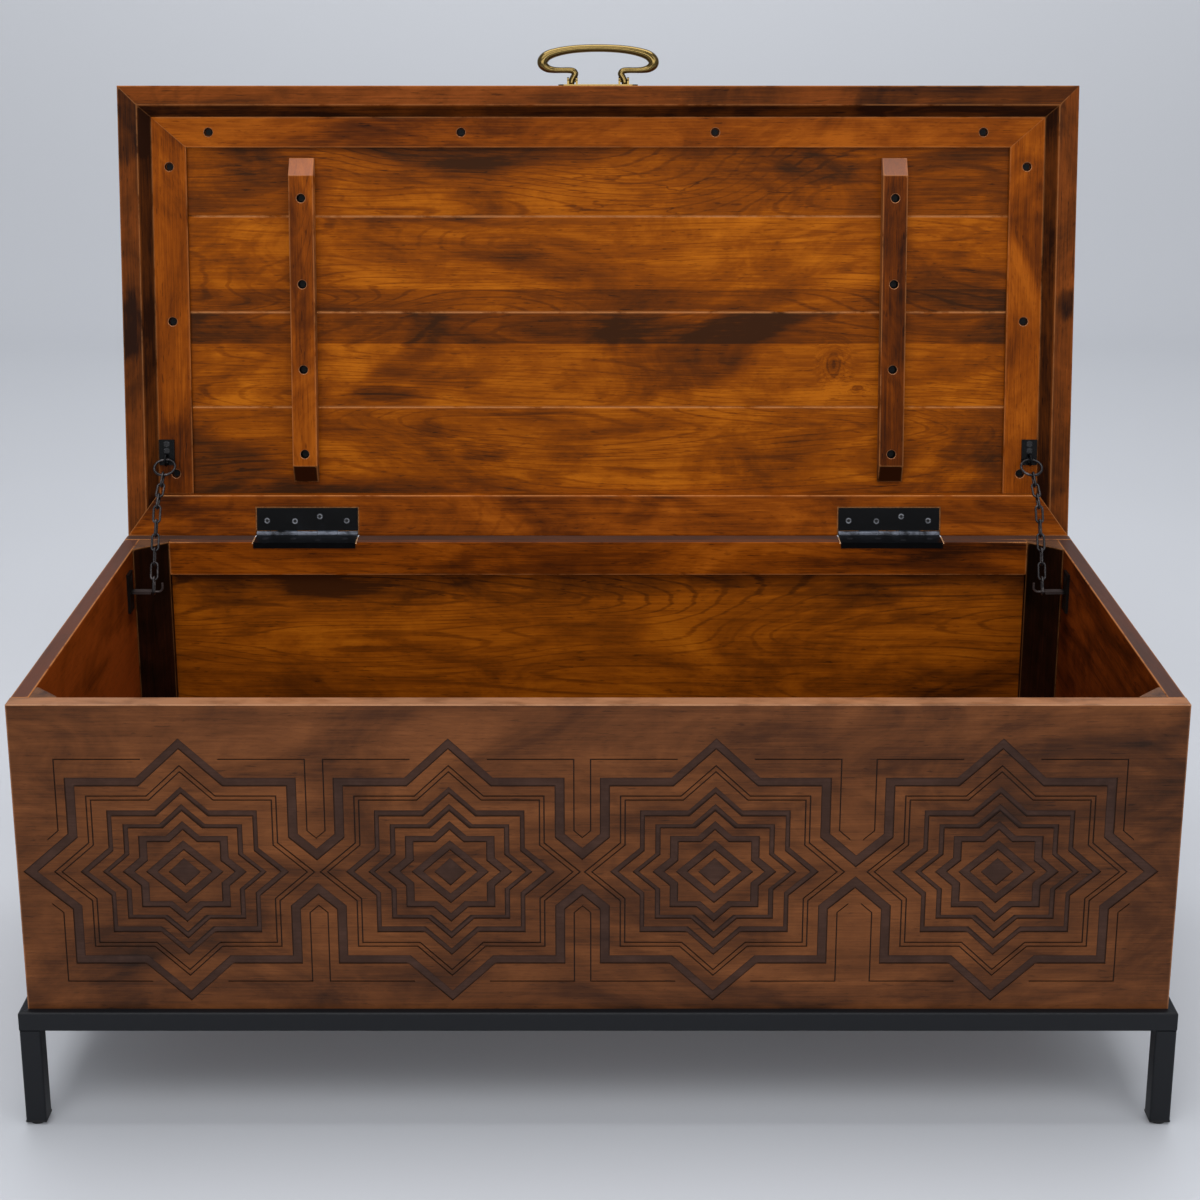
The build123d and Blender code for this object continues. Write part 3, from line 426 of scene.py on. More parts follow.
def lid_place(g: Graph) -> Socket:
    """A point's X, its distance from the lid's front edge and its height in the lid."""
    values = {"Vector": g.position, "Location": LEAN.shut(), "Rotation": (LEAN.angle, 0.0, 0.0)}
    return g.node("ShaderNodeMapping", {"vector_type": "POINT"}, values)


def largest(values: Sequence[Socket]) -> Socket:
    """The largest of several values."""
    return reduce(Socket.at_least, values)


def smallest(values: Sequence[Socket]) -> Socket:
    """The smallest of several values."""
    return reduce(Socket.at_most, values)


class Grain(Enum):
    """Which way the grain of a board runs, as the turn that brings it to X."""

    ACROSS = (0.0, 0.0, 0.0)
    DEPTH = (0.0, 0.0, -math.pi / 2)
    UPRIGHT = (0.0, math.pi / 2, 0.0)


@dataclass(frozen=True)
class Layer:
    """A layer of soft noise: its repeats per metre along and across the grain, and its character.

    A layer with a span gives 0 at the span's first number and 1 at its second.
    """

    along: float
    across: float
    detail: float = 3.0
    roughness: float = 0.55
    distortion: float = 0.0
    span: Optional[Span] = None

    def on(self, g: Graph, place: Socket) -> Socket:
        """Read the layer at a place.

        Args:
            g: the material's graph.
            place: where it is read.

        Returns:
            The noise, about 0.3 to 0.7, or 0 to 1 where the layer has a span.
        """
        scale = (self.along, self.across, self.across)
        noise = g.noise(place, scale, self.detail, self.roughness, self.distortion)
        return noise if self.span is None else noise.ramp(*self.span)


SMOKE = Layer(2.2, 5.4, 4.0, 0.60, 1.2, (0.49, 0.68))
CLOUD = Layer(4.6, 11.0, 6.0, 0.62, 1.5)
SILK = Layer(26.0, 21.0, 3.0, 0.55, 1.8)
SWEEP = Layer(0.9, 6.0, 2.0, 0.45, 0.3)
STREAK = Layer(3.4, 105.0, 4.0, 0.64, 0.4)
FIBRE = Layer(15.0, 620.0, 3.0, 0.6)
PORES = Layer(75.0, 760.0, 2.0, 0.6, span=(0.60, 0.72))
FLECKS = Layer(48.0, 400.0, 2.0, 0.55, 0.3, (0.63, 0.72))
KNOT_RAGS = Layer(40.0, 60.0, 4.0, 0.6, 0.8)
PATCH_RAGS = Layer(8.0, 34.0, 5.0, 0.64, 0.8)
VEIN_WANDER = Layer(5.0, 30.0, 4.0, 0.5, 0.9)
EDGE_RUB = Layer(31.0, 31.0, 5.0, 0.68, span=(0.30, 0.52))
CHANNEL_MOTTLE = Layer(26.0, 26.0, 5.0, 0.7, span=(0.36, 0.66))
FRONT_EDGE_MOTTLE = Layer(24.0, 60.0, 4.0, 0.6, span=(0.34, 0.58))
SPECK = Layer(420.0, 420.0, 3.0, 0.6)
CREST_STREAKS = Layer(90.0, 700.0, 3.0, 0.6, span=(0.3, 0.62))
PAPER_CLOUD = Layer(0.7, 0.7, 2.0, span=(0.3, 0.7))


@dataclass(frozen=True)
class Weights:
    """How far each layer moves the stain along its colours, whose whole length is 1."""

    cloud: float = 1.65
    streak: float = 0.54
    fibre: float = 0.55
    silk: float = 0.20
    smoke: float = 0.42
    growth: float = 0.17
    flecks: float = 0.24
    pores: float = 0.38
    band_streak: float = 0.4
    border_streak: float = 0.3


WEIGHTS = Weights()
SEED_STEPS = (1.37, 0.71, 0.53)
GROWTH_RATE = 360.0
GROWTH_WANDER = 4.0
GROWTH_SPAN = (0.66, 1.0)
GROWTH_GATE = (0.36, 0.60)
KNOT_PULL = 9 * MM
BAND_EDGE = 0.5 * MM
HOLLOW_RISE = (0.6 * MM, 3 * MM)
HOLLOW_EDGE = (0.3 * MM, 1.5 * MM)
# Painted sheen: a grey on an upper face, and a pale pinkish grey on an upward bevel.
SHEEN_TOP_DROP = (0.3 * MM, 0.06 * MM)
SHEEN_TOP_SHARE = 0.8
SHEEN_BEVEL_EDGES = (1.0 * MM, 0.5 * MM)
SHEEN_BEVEL_SHARE = 0.32
RUB_SPAN = (0.25, 0.85)
RUB_SHARE = 0.55
GLOSS_SPREAD = 0.16
GLOSS_MIDDLE = 0.35
FIBRE_RELIEF = 0.5
STREAK_RELIEF = 0.35
PORE_RELIEF = 0.5
WOOD_RELIEF = (0.20, 0.5 * MM)
BARE_RELIEF = (0.3, 0.3 * MM)
METAL_RELIEF_DEPTH = 0.3 * MM
STAIN_PLACES = (0.0, 0.34, 0.62, 0.95)


@dataclass(frozen=True)
class Stain:
    """The four colours of a stained wood, from its palest to its deepest."""

    pale: Colour
    warm: Colour
    deep: Colour
    dark: Colour

    def stops(self) -> list[tuple[float, Colour]]:
        """The colours with their places on a ramp, the deepest at 0."""
        return list(zip(STAIN_PLACES, (self.dark, self.deep, self.warm, self.pale)))


AMBER = Stain(tone(170, 93, 12), tone(132, 65, 4), tone(98, 46, 6), tone(54, 28, 10))
HONEY = Stain(tone(172, 96, 16), tone(142, 73, 9), tone(106, 52, 7), tone(56, 27, 8))
TAWNY = Stain(tone(158, 82, 14), tone(126, 60, 6), tone(90, 40, 5), tone(44, 19, 6))
UMBER = Stain(tone(112, 66, 34), tone(91, 52, 25), tone(69, 38, 18), tone(36, 21, 12))
RUSSET = Stain(tone(128, 58, 17), tone(106, 47, 11), tone(76, 31, 7), tone(36, 14, 5))
CHESTNUT = Stain(tone(132, 68, 24), tone(106, 52, 15), tone(76, 37, 11), tone(36, 17, 8))
# Painted shade: the corner blocks stand in the box's shaded corners, so their stain is kept nearly
# black.
SHADE = Stain(tone(50, 23, 9), tone(32, 13, 5), tone(20, 8, 3), tone(10, 4, 2))

# Pale edge colour of the front: worn bare wood, and a painted highlight along its top edge.
WORN_EDGE_AND_HIGHLIGHT = tone(196, 142, 104)
RUBBED_WOOD = tone(190, 126, 74)
CHANNEL_DARK = tone(30, 18, 13)
# The wide channels' own floor tone; beside the channel walls the near-black stays as painted shade.
CHANNEL_FLOOR = tone(64, 44, 36)
# Painted grey sheen on an upper face.
SHEEN_GREY = tone(66, 50, 45)
# Painted sheen, a pale pinkish grey, on an upward bevel.
BEVEL_SHEEN = tone(190, 140, 118)
FRESH_WOOD = (tone(236, 198, 160), tone(196, 146, 104))
OCHRE_WOOD = (tone(172, 116, 66), tone(128, 80, 42))
WELL_RIM_WOOD = (tone(176, 120, 80), tone(120, 72, 44))
# Painted shade deep inside a screw well.
WELL_SHADE = tone(14, 8, 6)


@dataclass(frozen=True)
class Spot:
    """An oval place in the lid: its middle as X and distance from the front, and its reaches."""

    centre: tuple[float, float]
    reach: tuple[float, float]

    def squared(self, across: Socket, line: Socket) -> Socket:
        """The square of the distance from the middle, 1 at the oval's edge.

        Args:
            across: the place's X.
            line: its distance from the lid's front edge.

        Returns:
            The squared distance.
        """
        dx = (across - self.centre[0]) / self.reach[0]
        dy = (line - self.centre[1]) / self.reach[1]
        return dx * dx + dy * dy


@dataclass(frozen=True)
class Knot(Spot):
    """A knot in the lid: rings that are a sine of the distance from it, round a dark heart."""

    heart: float
    ragged: float = 0.9
    pull_reach: float = 2.2
    ring_rate: float = 13.0
    ring_span: Span = (-0.2, 1.0)
    ring_fade: Span = (1.25, 0.7)
    heart_fade: Span = (0.9, 0.1)
    ring_share: float = 0.5

    def rings(self, away: Socket) -> Socket:
        """How dark the knot is at a distance from its middle."""
        rings = (away * self.ring_rate).sine().ramp(*self.ring_span) * away.ramp(*self.ring_fade)
        middle = away.ramp(*self.heart_fade) * (1 - self.ring_share)
        return (rings * self.ring_share + middle) * self.heart


@dataclass(frozen=True)
class Smudge(Spot):
    """A darker patch in the lid, or a golden one where its depth is below 0."""

    depth: float
    body: float = 0.8
    ragged: float = 3.0
    span: Span = (-0.1, 0.9)

    def shade(self, across: Socket, line: Socket, rags: Socket) -> Socket:
        """How far the patch darkens a place, with a ragged border."""
        inside = self.body + rags.centred() * self.ragged - self.squared(across, line)
        return inside.ramp(*self.span) * self.depth


@dataclass(frozen=True)
class Crackle(Spot):
    """Fine dark veins in the lid, where a wandering noise crosses its own middle."""

    depth: float
    span: Span = (0.0, 0.6)
    vein: Span = (0.016, 0.003)
    gate: Span = (0.38, 0.52)

    def shade(self, across: Socket, line: Socket, rags: Socket, wander: Socket) -> Socket:
        """How far the veins darken a place."""
        inside = (1.0 - self.squared(across, line)).ramp(*self.span)
        vein = abs(wander.centred()).ramp(*self.vein) * rags.ramp(*self.gate)
        return inside * vein * self.depth


@dataclass(frozen=True)
class BorderStainAndShade:
    """Where the lid is darkened by stain that pools along the frame and by painted shade from the
    frame standing proud: by its ends and by two lines across it.
    """

    half_width: float
    front: float
    back: float
    reach: float = 0.05
    line_reach: float = 0.03
    share: float = 0.16

    def border(self, across: Socket, line: Socket) -> Socket:
        """How near a place is to the framed border.

        Args:
            across: the place's X.
            line: its distance from the lid's front edge.

        Returns:
            The nearness, 0 to 1.
        """
        by_end = abs(across).ramp(self.half_width - self.reach, self.half_width)
        by_front = line.ramp(self.front + self.line_reach, self.front)
        by_back = line.ramp(self.back - self.line_reach, self.back)
        return largest((by_end, by_front, by_back))


@dataclass(frozen=True)
class Wood:
    """A lacquered, stained board of one tree and one stain."""

    name: str
    stain: Stain
    grain: Grain = Grain.ACROSS
    seed: float = 0.0
    level: float = 0.55
    smoke: float = 1.0
    cloud: float = 1.0
    figure: float = 0.5
    gloss: float = 0.40
    wear: float = 1.0
    lean: bool = False
    knots: tuple[Knot, ...] = ()
    bands: tuple[tuple[float, float, float], ...] = ()
    # Borders darkened by stain that pools by the frame and by painted shade.
    border_stain_and_shade: Optional[BorderStainAndShade] = None
    smudges: tuple[Smudge, ...] = ()
    crackles: tuple[Crackle, ...] = ()
    # How far painted shade and a deeper stain darken a bar's sloped hollow.
    hollow: float = 0.0
    # Height of a top face that gets a painted grey sheen, or 0 for none.
    sheen_top: float = 0.0
    # Painted shadow under a rail: its top, its bottom and how dark it is.
    rail_shadow: Optional[tuple[float, float, float]] = None
    # Front and back of an upward bevel that gets a painted sheen.
    sheen_bevel: Optional[Span] = None
    specular: float = 0.035

    def board_place(self, g: Graph) -> Socket:
        """The board's own place: X along the grain, Z through a leaning board's thickness."""
        place = lid_place(g) if self.lean else g.position
        shift = tuple(self.seed * step for step in SEED_STEPS)
        turn = {"Vector": place, "Location": shift, "Rotation": self.grain.value}
        return g.node("ShaderNodeMapping", {"vector_type": "POINT"}, turn)

    def bent(self, g: Graph, place: Socket) -> tuple[Socket, Optional[Socket]]:
        """Bend the grain round the knots.

        Args:
            g: the material's graph.
            place: the board's own place.

        Returns:
            The bent place, and how dark the knots' ragged rings are, or None on a clear board.
        """
        if not self.knots:
            return place, None
        across, line, _ = g.split(lid_place(g))
        rags = KNOT_RAGS.on(g, place).centred()
        away = [knot.squared(across, line) ** 0.5 + rags * knot.ragged for knot in self.knots]
        pairs = list(zip(self.knots, away))
        pull = largest([far.ramp(knot.pull_reach, 0.0) for knot, far in pairs]) * KNOT_PULL
        push = g.node("ShaderNodeCombineXYZ", {}, [0.0, pull, pull])
        moved = g.node("ShaderNodeVectorMath", {"operation": "ADD"}, [place, push])
        return moved, largest([knot.rings(far) for knot, far in pairs])

    def depth(self, g: Graph, place: Socket, streak: Socket, fibre: Socket) -> Socket:
        """How pale the stain lies, 0 to 1, from clouds, streaks, growth lines and smoke.

        Growth lines are a sine of a slow sweep across the board, shown only under pale clouds.

        Args:
            g: the material's graph.
            place: the board's own place, bent round its knots.
            streak: long streaks along the grain.
            fibre: single fibres.

        Returns:
            The share along the stain's colours, dark at 0.
        """
        weights = WEIGHTS
        cloud, silk, sweep = (layer.on(g, place) for layer in (CLOUD, SILK, SWEEP))
        growth = (sweep * GROWTH_RATE + streak * GROWTH_WANDER).sine().ramp(*GROWTH_SPAN)
        growth = growth * cloud.ramp(*GROWTH_GATE) * self.figure
        share = self.level + cloud.centred() * (weights.cloud * self.cloud)
        share = share + streak.centred() * weights.streak + fibre.centred() * weights.fibre
        share = share + silk.centred() * weights.silk
        share = share - SMOKE.on(g, place) * (weights.smoke * self.smoke)
        return share - growth * weights.growth - FLECKS.on(g, place) * weights.flecks

    def build(self) -> bpy.types.Material:
        """Grain, figure, clouds of stain, pores and worn edges, with painted shade and sheen where
        the board has them, under a satin lacquer.
        """
        g = Graph(self.name)
        place, heart = self.bent(g, self.board_place(g))
        streak, fibre, pores = (layer.on(g, place) for layer in (STREAK, FIBRE, PORES))
        share = self.banded(g, self.depth(g, place, streak, fibre), streak)
        share = self.marked(g, self.stained_and_shaded(g, share, streak), place)
        if heart is not None:
            share = share - heart
        colour = g.node("ShaderNodeValToRGB", {"stops": self.stain.stops()}, [share])
        colour = g.mix(pores * WEIGHTS.pores, colour, self.stain.dark)
        colour = self.worn(g, self.carved(g, colour, fibre))
        relief = fibre * FIBRE_RELIEF + streak * STREAK_RELIEF - pores * PORE_RELIEF
        g.bump(relief, *WOOD_RELIEF)
        rough = self.gloss + GLOSS_SPREAD * (streak - GLOSS_MIDDLE)
        g.surface(Base_Color=colour, Roughness=rough, Specular_IOR_Level=self.specular)
        return g.material

    def banded(self, g: Graph, share: Socket, streak: Socket) -> Socket:
        """Darken strips of a board: those sawn from darker wood, and painted shade on a batten's
        downward end bevel.

        Args:
            g: the material's graph.
            share: how pale the stain lies.
            streak: long streaks along the grain.

        Returns:
            The share with each strip darkened, from its front line to its back line.
        """
        if not self.bands:
            return share
        _, line, _ = g.split(lid_place(g))
        for front, back, depth in self.bands:
            inside = line.ramp(front - BAND_EDGE, front + BAND_EDGE)
            inside = inside * line.ramp(back + BAND_EDGE, back - BAND_EDGE)
            share = share - inside * (depth + streak.centred() * WEIGHTS.band_streak)
        return share

    def stained_and_shaded(self, g: Graph, share: Socket, streak: Socket) -> Socket:
        """Darken a framed board's borders with pooled stain and painted shade, a bar's hollow with
        painted shade and deeper stain, and a wall under a rail with painted shadow.

        Args:
            g: the material's graph.
            share: how pale the stain lies.
            streak: long streaks along the grain.

        Returns:
            The share with those places darkened.
        """
        # Painted shadow on the wall below a rail that stands proud of it.
        if self.rail_shadow is not None:
            top, bottom, depth = self.rail_shadow
            _, _, rise = g.split(g.position)
            share = share - (rise.ramp(bottom, top) ** 2.0) * depth
        if self.border_stain_and_shade is None and self.hollow <= 0:
            return share
        across, line, height = g.split(lid_place(g))
        # Stain that pools along the frame, and painted shade from the frame standing proud.
        if self.border_stain_and_shade is not None:
            amount = self.border_stain_and_shade.share + streak.centred() * WEIGHTS.border_streak
            share = share - self.border_stain_and_shade.border(across, line) * amount
        # Painted shade, with a deeper stain, on the rim's sloped hollow away from its outer faces.
        if self.hollow > 0:
            near, far = HOLLOW_EDGE
            sunk = height.ramp(*HOLLOW_RISE) * line.ramp(near, far)
            sunk = sunk * abs(across).ramp(SIZES.half_width - near, SIZES.half_width - far)
            share = share - sunk * self.hollow
        return share

    def marked(self, g: Graph, share: Socket, place: Socket) -> Socket:
        """Darken the lid's patches and veined places, with ragged borders.

        Args:
            g: the material's graph.
            share: how pale the stain lies.
            place: the board's own place, bent round its knots.

        Returns:
            The share with those places darkened.
        """
        if not self.smudges and not self.crackles:
            return share
        across, line, _ = g.split(lid_place(g))
        rags = PATCH_RAGS.on(g, place)
        for smudge in self.smudges:
            share = share - smudge.shade(across, line, rags)
        for crackle in self.crackles:
            share = share - crackle.shade(across, line, rags, VEIN_WANDER.on(g, place))
        return share

    def carved(self, g: Graph, colour: Socket, fibre: Socket) -> Socket:
        """Nothing is carved in a plain board."""
        return colour

    def worn(self, g: Graph, colour: Socket) -> Socket:
        """Rub the edges pale and broken, and paint sheen: a grey on an upper face and a pale
        pinkish grey on an upward bevel.

        Args:
            g: the material's graph.
            colour: the board's colour before wear.

        Returns:
            The worn colour, with its painted sheen.
        """
        # Painted sheen: the upper face turns grey.
        if self.sheen_top > 0:
            _, _, height = g.split(g.position)
            top = height.ramp(*(self.sheen_top - drop for drop in SHEEN_TOP_DROP))
            colour = g.mix(top * SHEEN_TOP_SHARE, colour, SHEEN_GREY)
        # Painted sheen: the upward bevel turns a pale pinkish grey.
        if self.sheen_bevel is not None:
            front, back = self.sheen_bevel
            start, stop = SHEEN_BEVEL_EDGES
            _, line, _ = g.split(lid_place(g))
            bevel = line.ramp(front - start, front + start) * line.ramp(back + stop, back - stop)
            colour = g.mix(bevel * SHEEN_BEVEL_SHARE, colour, BEVEL_SHEEN)
        edge = g.attribute("wear").ramp(*RUB_SPAN) * EDGE_RUB.on(g, g.position)
        return g.mix(edge * (RUB_SHARE * self.wear), colour, RUBBED_WOOD)


TOP_TIP_SLOPE = 0.951
SIDE_TIP_SLOPE = 0.885
TOP_TIP_SHORTEN = 1 / math.hypot(1.0, TOP_TIP_SLOPE)
SIDE_TIP_SHORTEN = 1 / math.hypot(1.0, SIDE_TIP_SLOPE)


@dataclass(frozen=True)
class StarEdge:
    """The outline of an eight-pointed star in mm: a rectangle with a tip past each of its sides."""

    top_tip: float
    corner_x: float
    corner_z: float
    side_tip: float

    def outside(self, x: Socket, z: Socket, top: Socket, side: Socket) -> Socket:
        """How far a place lies outside the outline, in metres.

        The star is its rectangle joined with its upper and its side wedge, so the distance is the
        least of theirs.

        Args:
            x: distance from the star's middle along the board.
            z: distance from the star's middle up or down.
            top: z plus x times the upper tip's slope.
            side: z plus x times the side tip's slope.

        Returns:
            The distance, below 0 inside.
        """
        block = (x - self.corner_x * MM).at_least(z - self.corner_z * MM)
        wedge = (top - self.top_tip * MM) * TOP_TIP_SHORTEN
        point = (side - self.side_tip * SIDE_TIP_SLOPE * MM) * SIDE_TIP_SHORTEN
        return smallest((block, wedge, point))


@dataclass(frozen=True)
class CarvedWood(Wood):
    """The front board: umber wood whose carved channels are stained nearly black, with painted
    shade along the channel walls and a painted highlight on its top edge.
    """

    face_y: float = 0.0
    top_z: float = 0.0
    end_x: float = 0.0
    star_z: float = 266.57 * MM
    star_centres: tuple[float, ...] = (-391.6 * MM, -140.0 * MM, 110.3 * MM, 377.9 * MM)
    wide_channels: tuple[tuple[StarEdge, StarEdge], ...] = (
        (StarEdge(136.0, 108.6, 96.5, 153.0), StarEdge(125.0, 99.2, 87.5, 138.9)),
        (StarEdge(87.3, 70.8, 63.3, 99.0), StarEdge(80.2, 66.3, 56.9, 90.6)),
        (StarEdge(69.8, 56.3, 49.1, 77.8), StarEdge(62.2, 51.3, 44.7, 71.3)),
        (StarEdge(52.4, 42.3, 37.1, 58.9), StarEdge(43.0, 34.3, 30.5, 47.1)),
    )
    diamond: Span = (32.7 * MM, 22.4 * MM)
    diamond_core: float = 14.5 * MM
    diamond_slope: float = 32.7 / 36.7
    cut_line: float = 1.1 * MM
    cut_fade: Span = (0.3, 1.3)
    sunk_start: Span = (0.1 * MM, 0.6 * MM)
    sunk_end: Span = (2.2 * MM, 1.8 * MM)
    # Wide channel floors are lighter away from their walls; beside the walls the near-black is
    # painted shade.
    floor_mottle: Span = (0.45, 0.55)
    fibre_span: Span = (0.35, 0.65)
    fibre_share: float = 0.35
    channel_share: float = 0.92
    # The top edge and upper face are paled as worn wood with a painted highlight; the ends are
    # paled less.
    top_edge: Span = (1.2 * MM, 0.1 * MM)
    end_edge: Span = (1.6 * MM, 0.3 * MM)
    upper_face: Span = (0.4 * MM, 0.05 * MM)
    minor_edge_share: float = 0.35
    # How strongly the pale edges show: worn wood with a painted highlight.
    edge_wear: Span = (0.45, 0.5)

    def floors(self, g: Graph) -> Socket:
        """How far a place lies in the middle of a wide channel's floor, away from both its cuts.

        Args:
            g: the material's graph.

        Returns:
            The share, 0 to 1.
        """
        along, _, height = g.split(g.position)
        x = smallest([abs(along - centre) for centre in self.star_centres])
        z = abs(height - self.star_z)
        top, side = z + x * TOP_TIP_SLOPE, z + x * SIDE_TIP_SLOPE
        soft = tuple(share * self.cut_line for share in self.cut_fade)
        floors = [
            (0.0 - outer.outside(x, z, top, side)).ramp(*soft)
            * inner.outside(x, z, top, side).ramp(*soft)
            for outer, inner in self.wide_channels
        ]
        tall = z + x * self.diamond_slope
        ring = (self.diamond[0] - tall).ramp(*soft) * (tall - self.diamond[1]).ramp(*soft)
        return largest([*floors, ring, (self.diamond_core - tall).ramp(*soft)])

    def carved(self, g: Graph, colour: Socket, fibre: Socket) -> Socket:
        """Darken every place that lies below the board's face, and pale the board's edges: worn
        bare wood, with a painted highlight along its top.

        Args:
            g: the material's graph.
            colour: the board's colour.
            fibre: single fibres.

        Returns:
            The carved board's colour.
        """
        across, depth, height = g.split(g.position)
        sunk = depth.ramp(*(self.face_y + below for below in self.sunk_start))
        sunk = sunk * depth.ramp(*(self.face_y + below for below in self.sunk_end))
        # Painted shade: a wide floor keeps the near-black beside its walls and shows its lighter
        # tone only away from them.
        least, more = self.floor_mottle
        worn = least + CHANNEL_MOTTLE.on(g, g.position) * more
        burnt = g.mix(self.floors(g) * worn, CHANNEL_DARK, CHANNEL_FLOOR)
        burnt = g.mix(fibre.ramp(*self.fibre_span) * self.fibre_share, burnt, CHANNEL_DARK)
        inside = abs(across).ramp(*(self.end_x - inward for inward in self.sunk_start))
        colour = g.mix(sunk * inside * self.channel_share, colour, burnt)
        # Worn wood with a painted highlight: the top edge and upper face are paled, the ends less.
        top = height.ramp(*(self.top_z - drop for drop in self.top_edge))
        front = depth.ramp(*(self.face_y + below for below in self.top_edge))
        end = abs(across).ramp(*(self.end_x - inward for inward in self.end_edge))
        upper = height.ramp(*(self.top_z - drop for drop in self.upper_face))
        minor = self.minor_edge_share
        edge = largest((top * front, end * front * minor, upper * minor))
        least, more = self.edge_wear
        edge_mottle = least + FRONT_EDGE_MOTTLE.on(g, g.position) * more
        return g.mix(edge * edge_mottle, colour, WORN_EDGE_AND_HIGHLIGHT)


@dataclass(frozen=True)
class Metal:
    """A coated or bare metal with rubbed, slightly uneven skin."""

    name: str
    skin: Colour
    rubbed: Colour
    metallic: float = 0.0
    roughness: float = 0.42
    spread: float = 0.18
    rub_share: float = 0.3
    grainy: float = 0.25
    specular: float = 0.5
    lump: float = 30.0
    cloud_share: float = 0.6
    wear_span: Span = (0.62, 0.74)
    wear_reach: float = 0.2
    edge_span: Span = (0.4, 1.0)
    speck_span: Span = (0.4, 0.62)
    edge_share: float = 0.5
    speck_spread: float = 0.10

    def build(self) -> bpy.types.Material:
        """Two tones broken up by noise, with a fine hammered or orange-peel relief."""
        g = Graph(self.name)
        cloud = Layer(self.lump, self.lump, 5.0, 0.6).on(g, g.position)
        speck = SPECK.on(g, g.position)
        low, high = self.wear_span
        blend = cloud * self.cloud_share + speck * (1 - self.cloud_share)
        wear = blend.ramp(low - self.wear_reach * self.rub_share, high)
        edge = g.attribute("wear").ramp(*self.edge_span) * speck.ramp(*self.speck_span)
        share = (wear * self.rub_share).at_least(edge * self.edge_share * self.rub_share)
        colour = self.crested(g, g.mix(share, self.skin, self.rubbed), cloud)
        rough = self.roughness + self.spread * cloud.centred() + self.speck_spread * speck.centred()
        g.bump((speck + cloud) * 0.5, self.grainy, METAL_RELIEF_DEPTH)
        g.surface(Base_Color=colour, Roughness=rough, Metallic=self.metallic)
        g.surface(Specular_IOR_Level=self.specular)
        return g.material

    def crested(self, g: Graph, colour: Socket, cloud: Socket) -> Socket:
        """Plain metal has no rubbed part and no painted light of its own."""
        return colour


@dataclass(frozen=True)
class BracketIron(Metal):
    """Iron brackets, dark where they lie against the side boards."""

    shadow: Colour = tone(15, 12, 11)
    plate_reach: Span = (8 * MM, 4 * MM)

    def crested(self, g: Graph, colour: Socket, cloud: Socket) -> Socket:
        """Darken the plate on the board and leave the arm grey.

        Args:
            g: the material's graph.
            colour: the metal's colour.
            cloud: the metal's slow noise; not used.

        Returns:
            The colour with the plate darkened.
        """
        across, _, _ = g.split(g.position)
        board = SIZES.side[0].x
        plate_share = abs(across).ramp(*(board - inward for inward in self.plate_reach))
        return g.mix(plate_share, colour, self.shadow)


@dataclass(frozen=True)
class ScrewIron(Metal):
    """Dark screws; those in the lid's hinge leaves have a painted highlight ring round a dark
    middle.
    """

    ring: Colour = tone(118, 121, 128)
    middle: Colour = tone(8, 8, 10)
    columns: tuple[float, ...] = (-47.0 * MM, -14.5 * MM, 14.5 * MM, 46.0 * MM)
    lines: tuple[float, ...] = (503.0 * MM, 503.5 * MM, 498.0 * MM, 503.0 * MM)
    head: Span = (4.2 * MM, 3.9 * MM)
    head_height: Span = (3 * MM, 2 * MM)
    ring_inner: Span = (1.5 * MM, 2.1 * MM)
    ring_outer: Span = (3.5 * MM, 3.0 * MM)
    ring_breakup: Span = (0.45, 0.5)
    cloud_span: Span = (0.35, 0.6)

    def crested(self, g: Graph, colour: Socket, cloud: Socket) -> Socket:
        """Draw each painted highlight ring by the distance from its screw's middle.

        Args:
            g: the material's graph.
            colour: the metal's colour.
            cloud: the metal's slow noise.

        Returns:
            The colour with the painted highlight rings drawn.
        """
        across, line, height = g.split(lid_place(g))
        squares = []
        for middle in SIZES.hinge_middles():
            for column, row in zip(self.columns, self.lines):
                dx, dy = across - (middle + column), line - row
                squares.append(dx * dx + dy * dy)
        away = smallest(squares) ** 0.5
        near = away.ramp(*self.head) * abs(height).ramp(*self.head_height)
        ring = away.ramp(*self.ring_inner) * away.ramp(*self.ring_outer)
        # The painted highlight ring is broken up by slow clouds.
        least, more = self.ring_breakup
        wear = least + cloud.ramp(*self.cloud_span) * more
        return g.mix(near, colour, g.mix(ring * wear, self.middle, self.ring))


@dataclass(frozen=True)
class HingeIron(Metal):
    """Black iron with a painted blue-grey highlight along the crests of its hinge knuckles."""

    crest_highlight: Colour = tone(126, 132, 146)
    barrel: float = 3.6 * MM
    barrel_fade: Span = (1.5, 1.2)
    facing: Span = (0.80, 0.60)
    crest_span: Span = (0.40, 0.95)
    highlight_streaks: Span = (0.25, 0.45)
    cloud_span: Span = (0.3, 0.6)

    def crested(self, g: Graph, colour: Socket, cloud: Socket) -> Socket:
        """Paint a blue-grey highlight on the side of the knuckles that faces up and forward.

        Args:
            g: the material's graph.
            colour: the metal's colour.
            cloud: the metal's slow noise.

        Returns:
            The colour with the painted highlight on the crests.
        """
        _, y, z = hinge_joint()["pos_m"]
        _, depth, height = g.split(g.position)
        behind, above = (depth - y) / self.barrel, (height - z) / self.barrel
        round_part = (behind * behind + above * above).ramp(*self.barrel_fade)
        crest = (above * self.facing[0] - behind * self.facing[1]).ramp(*self.crest_span)
        # The painted highlight is broken by fine streaks and slow clouds.
        least, more = self.highlight_streaks
        wear = least + CREST_STREAKS.on(g, g.position) * more
        share = round_part * crest * wear * cloud.ramp(*self.cloud_span)
        return g.mix(share, colour, self.crest_highlight)


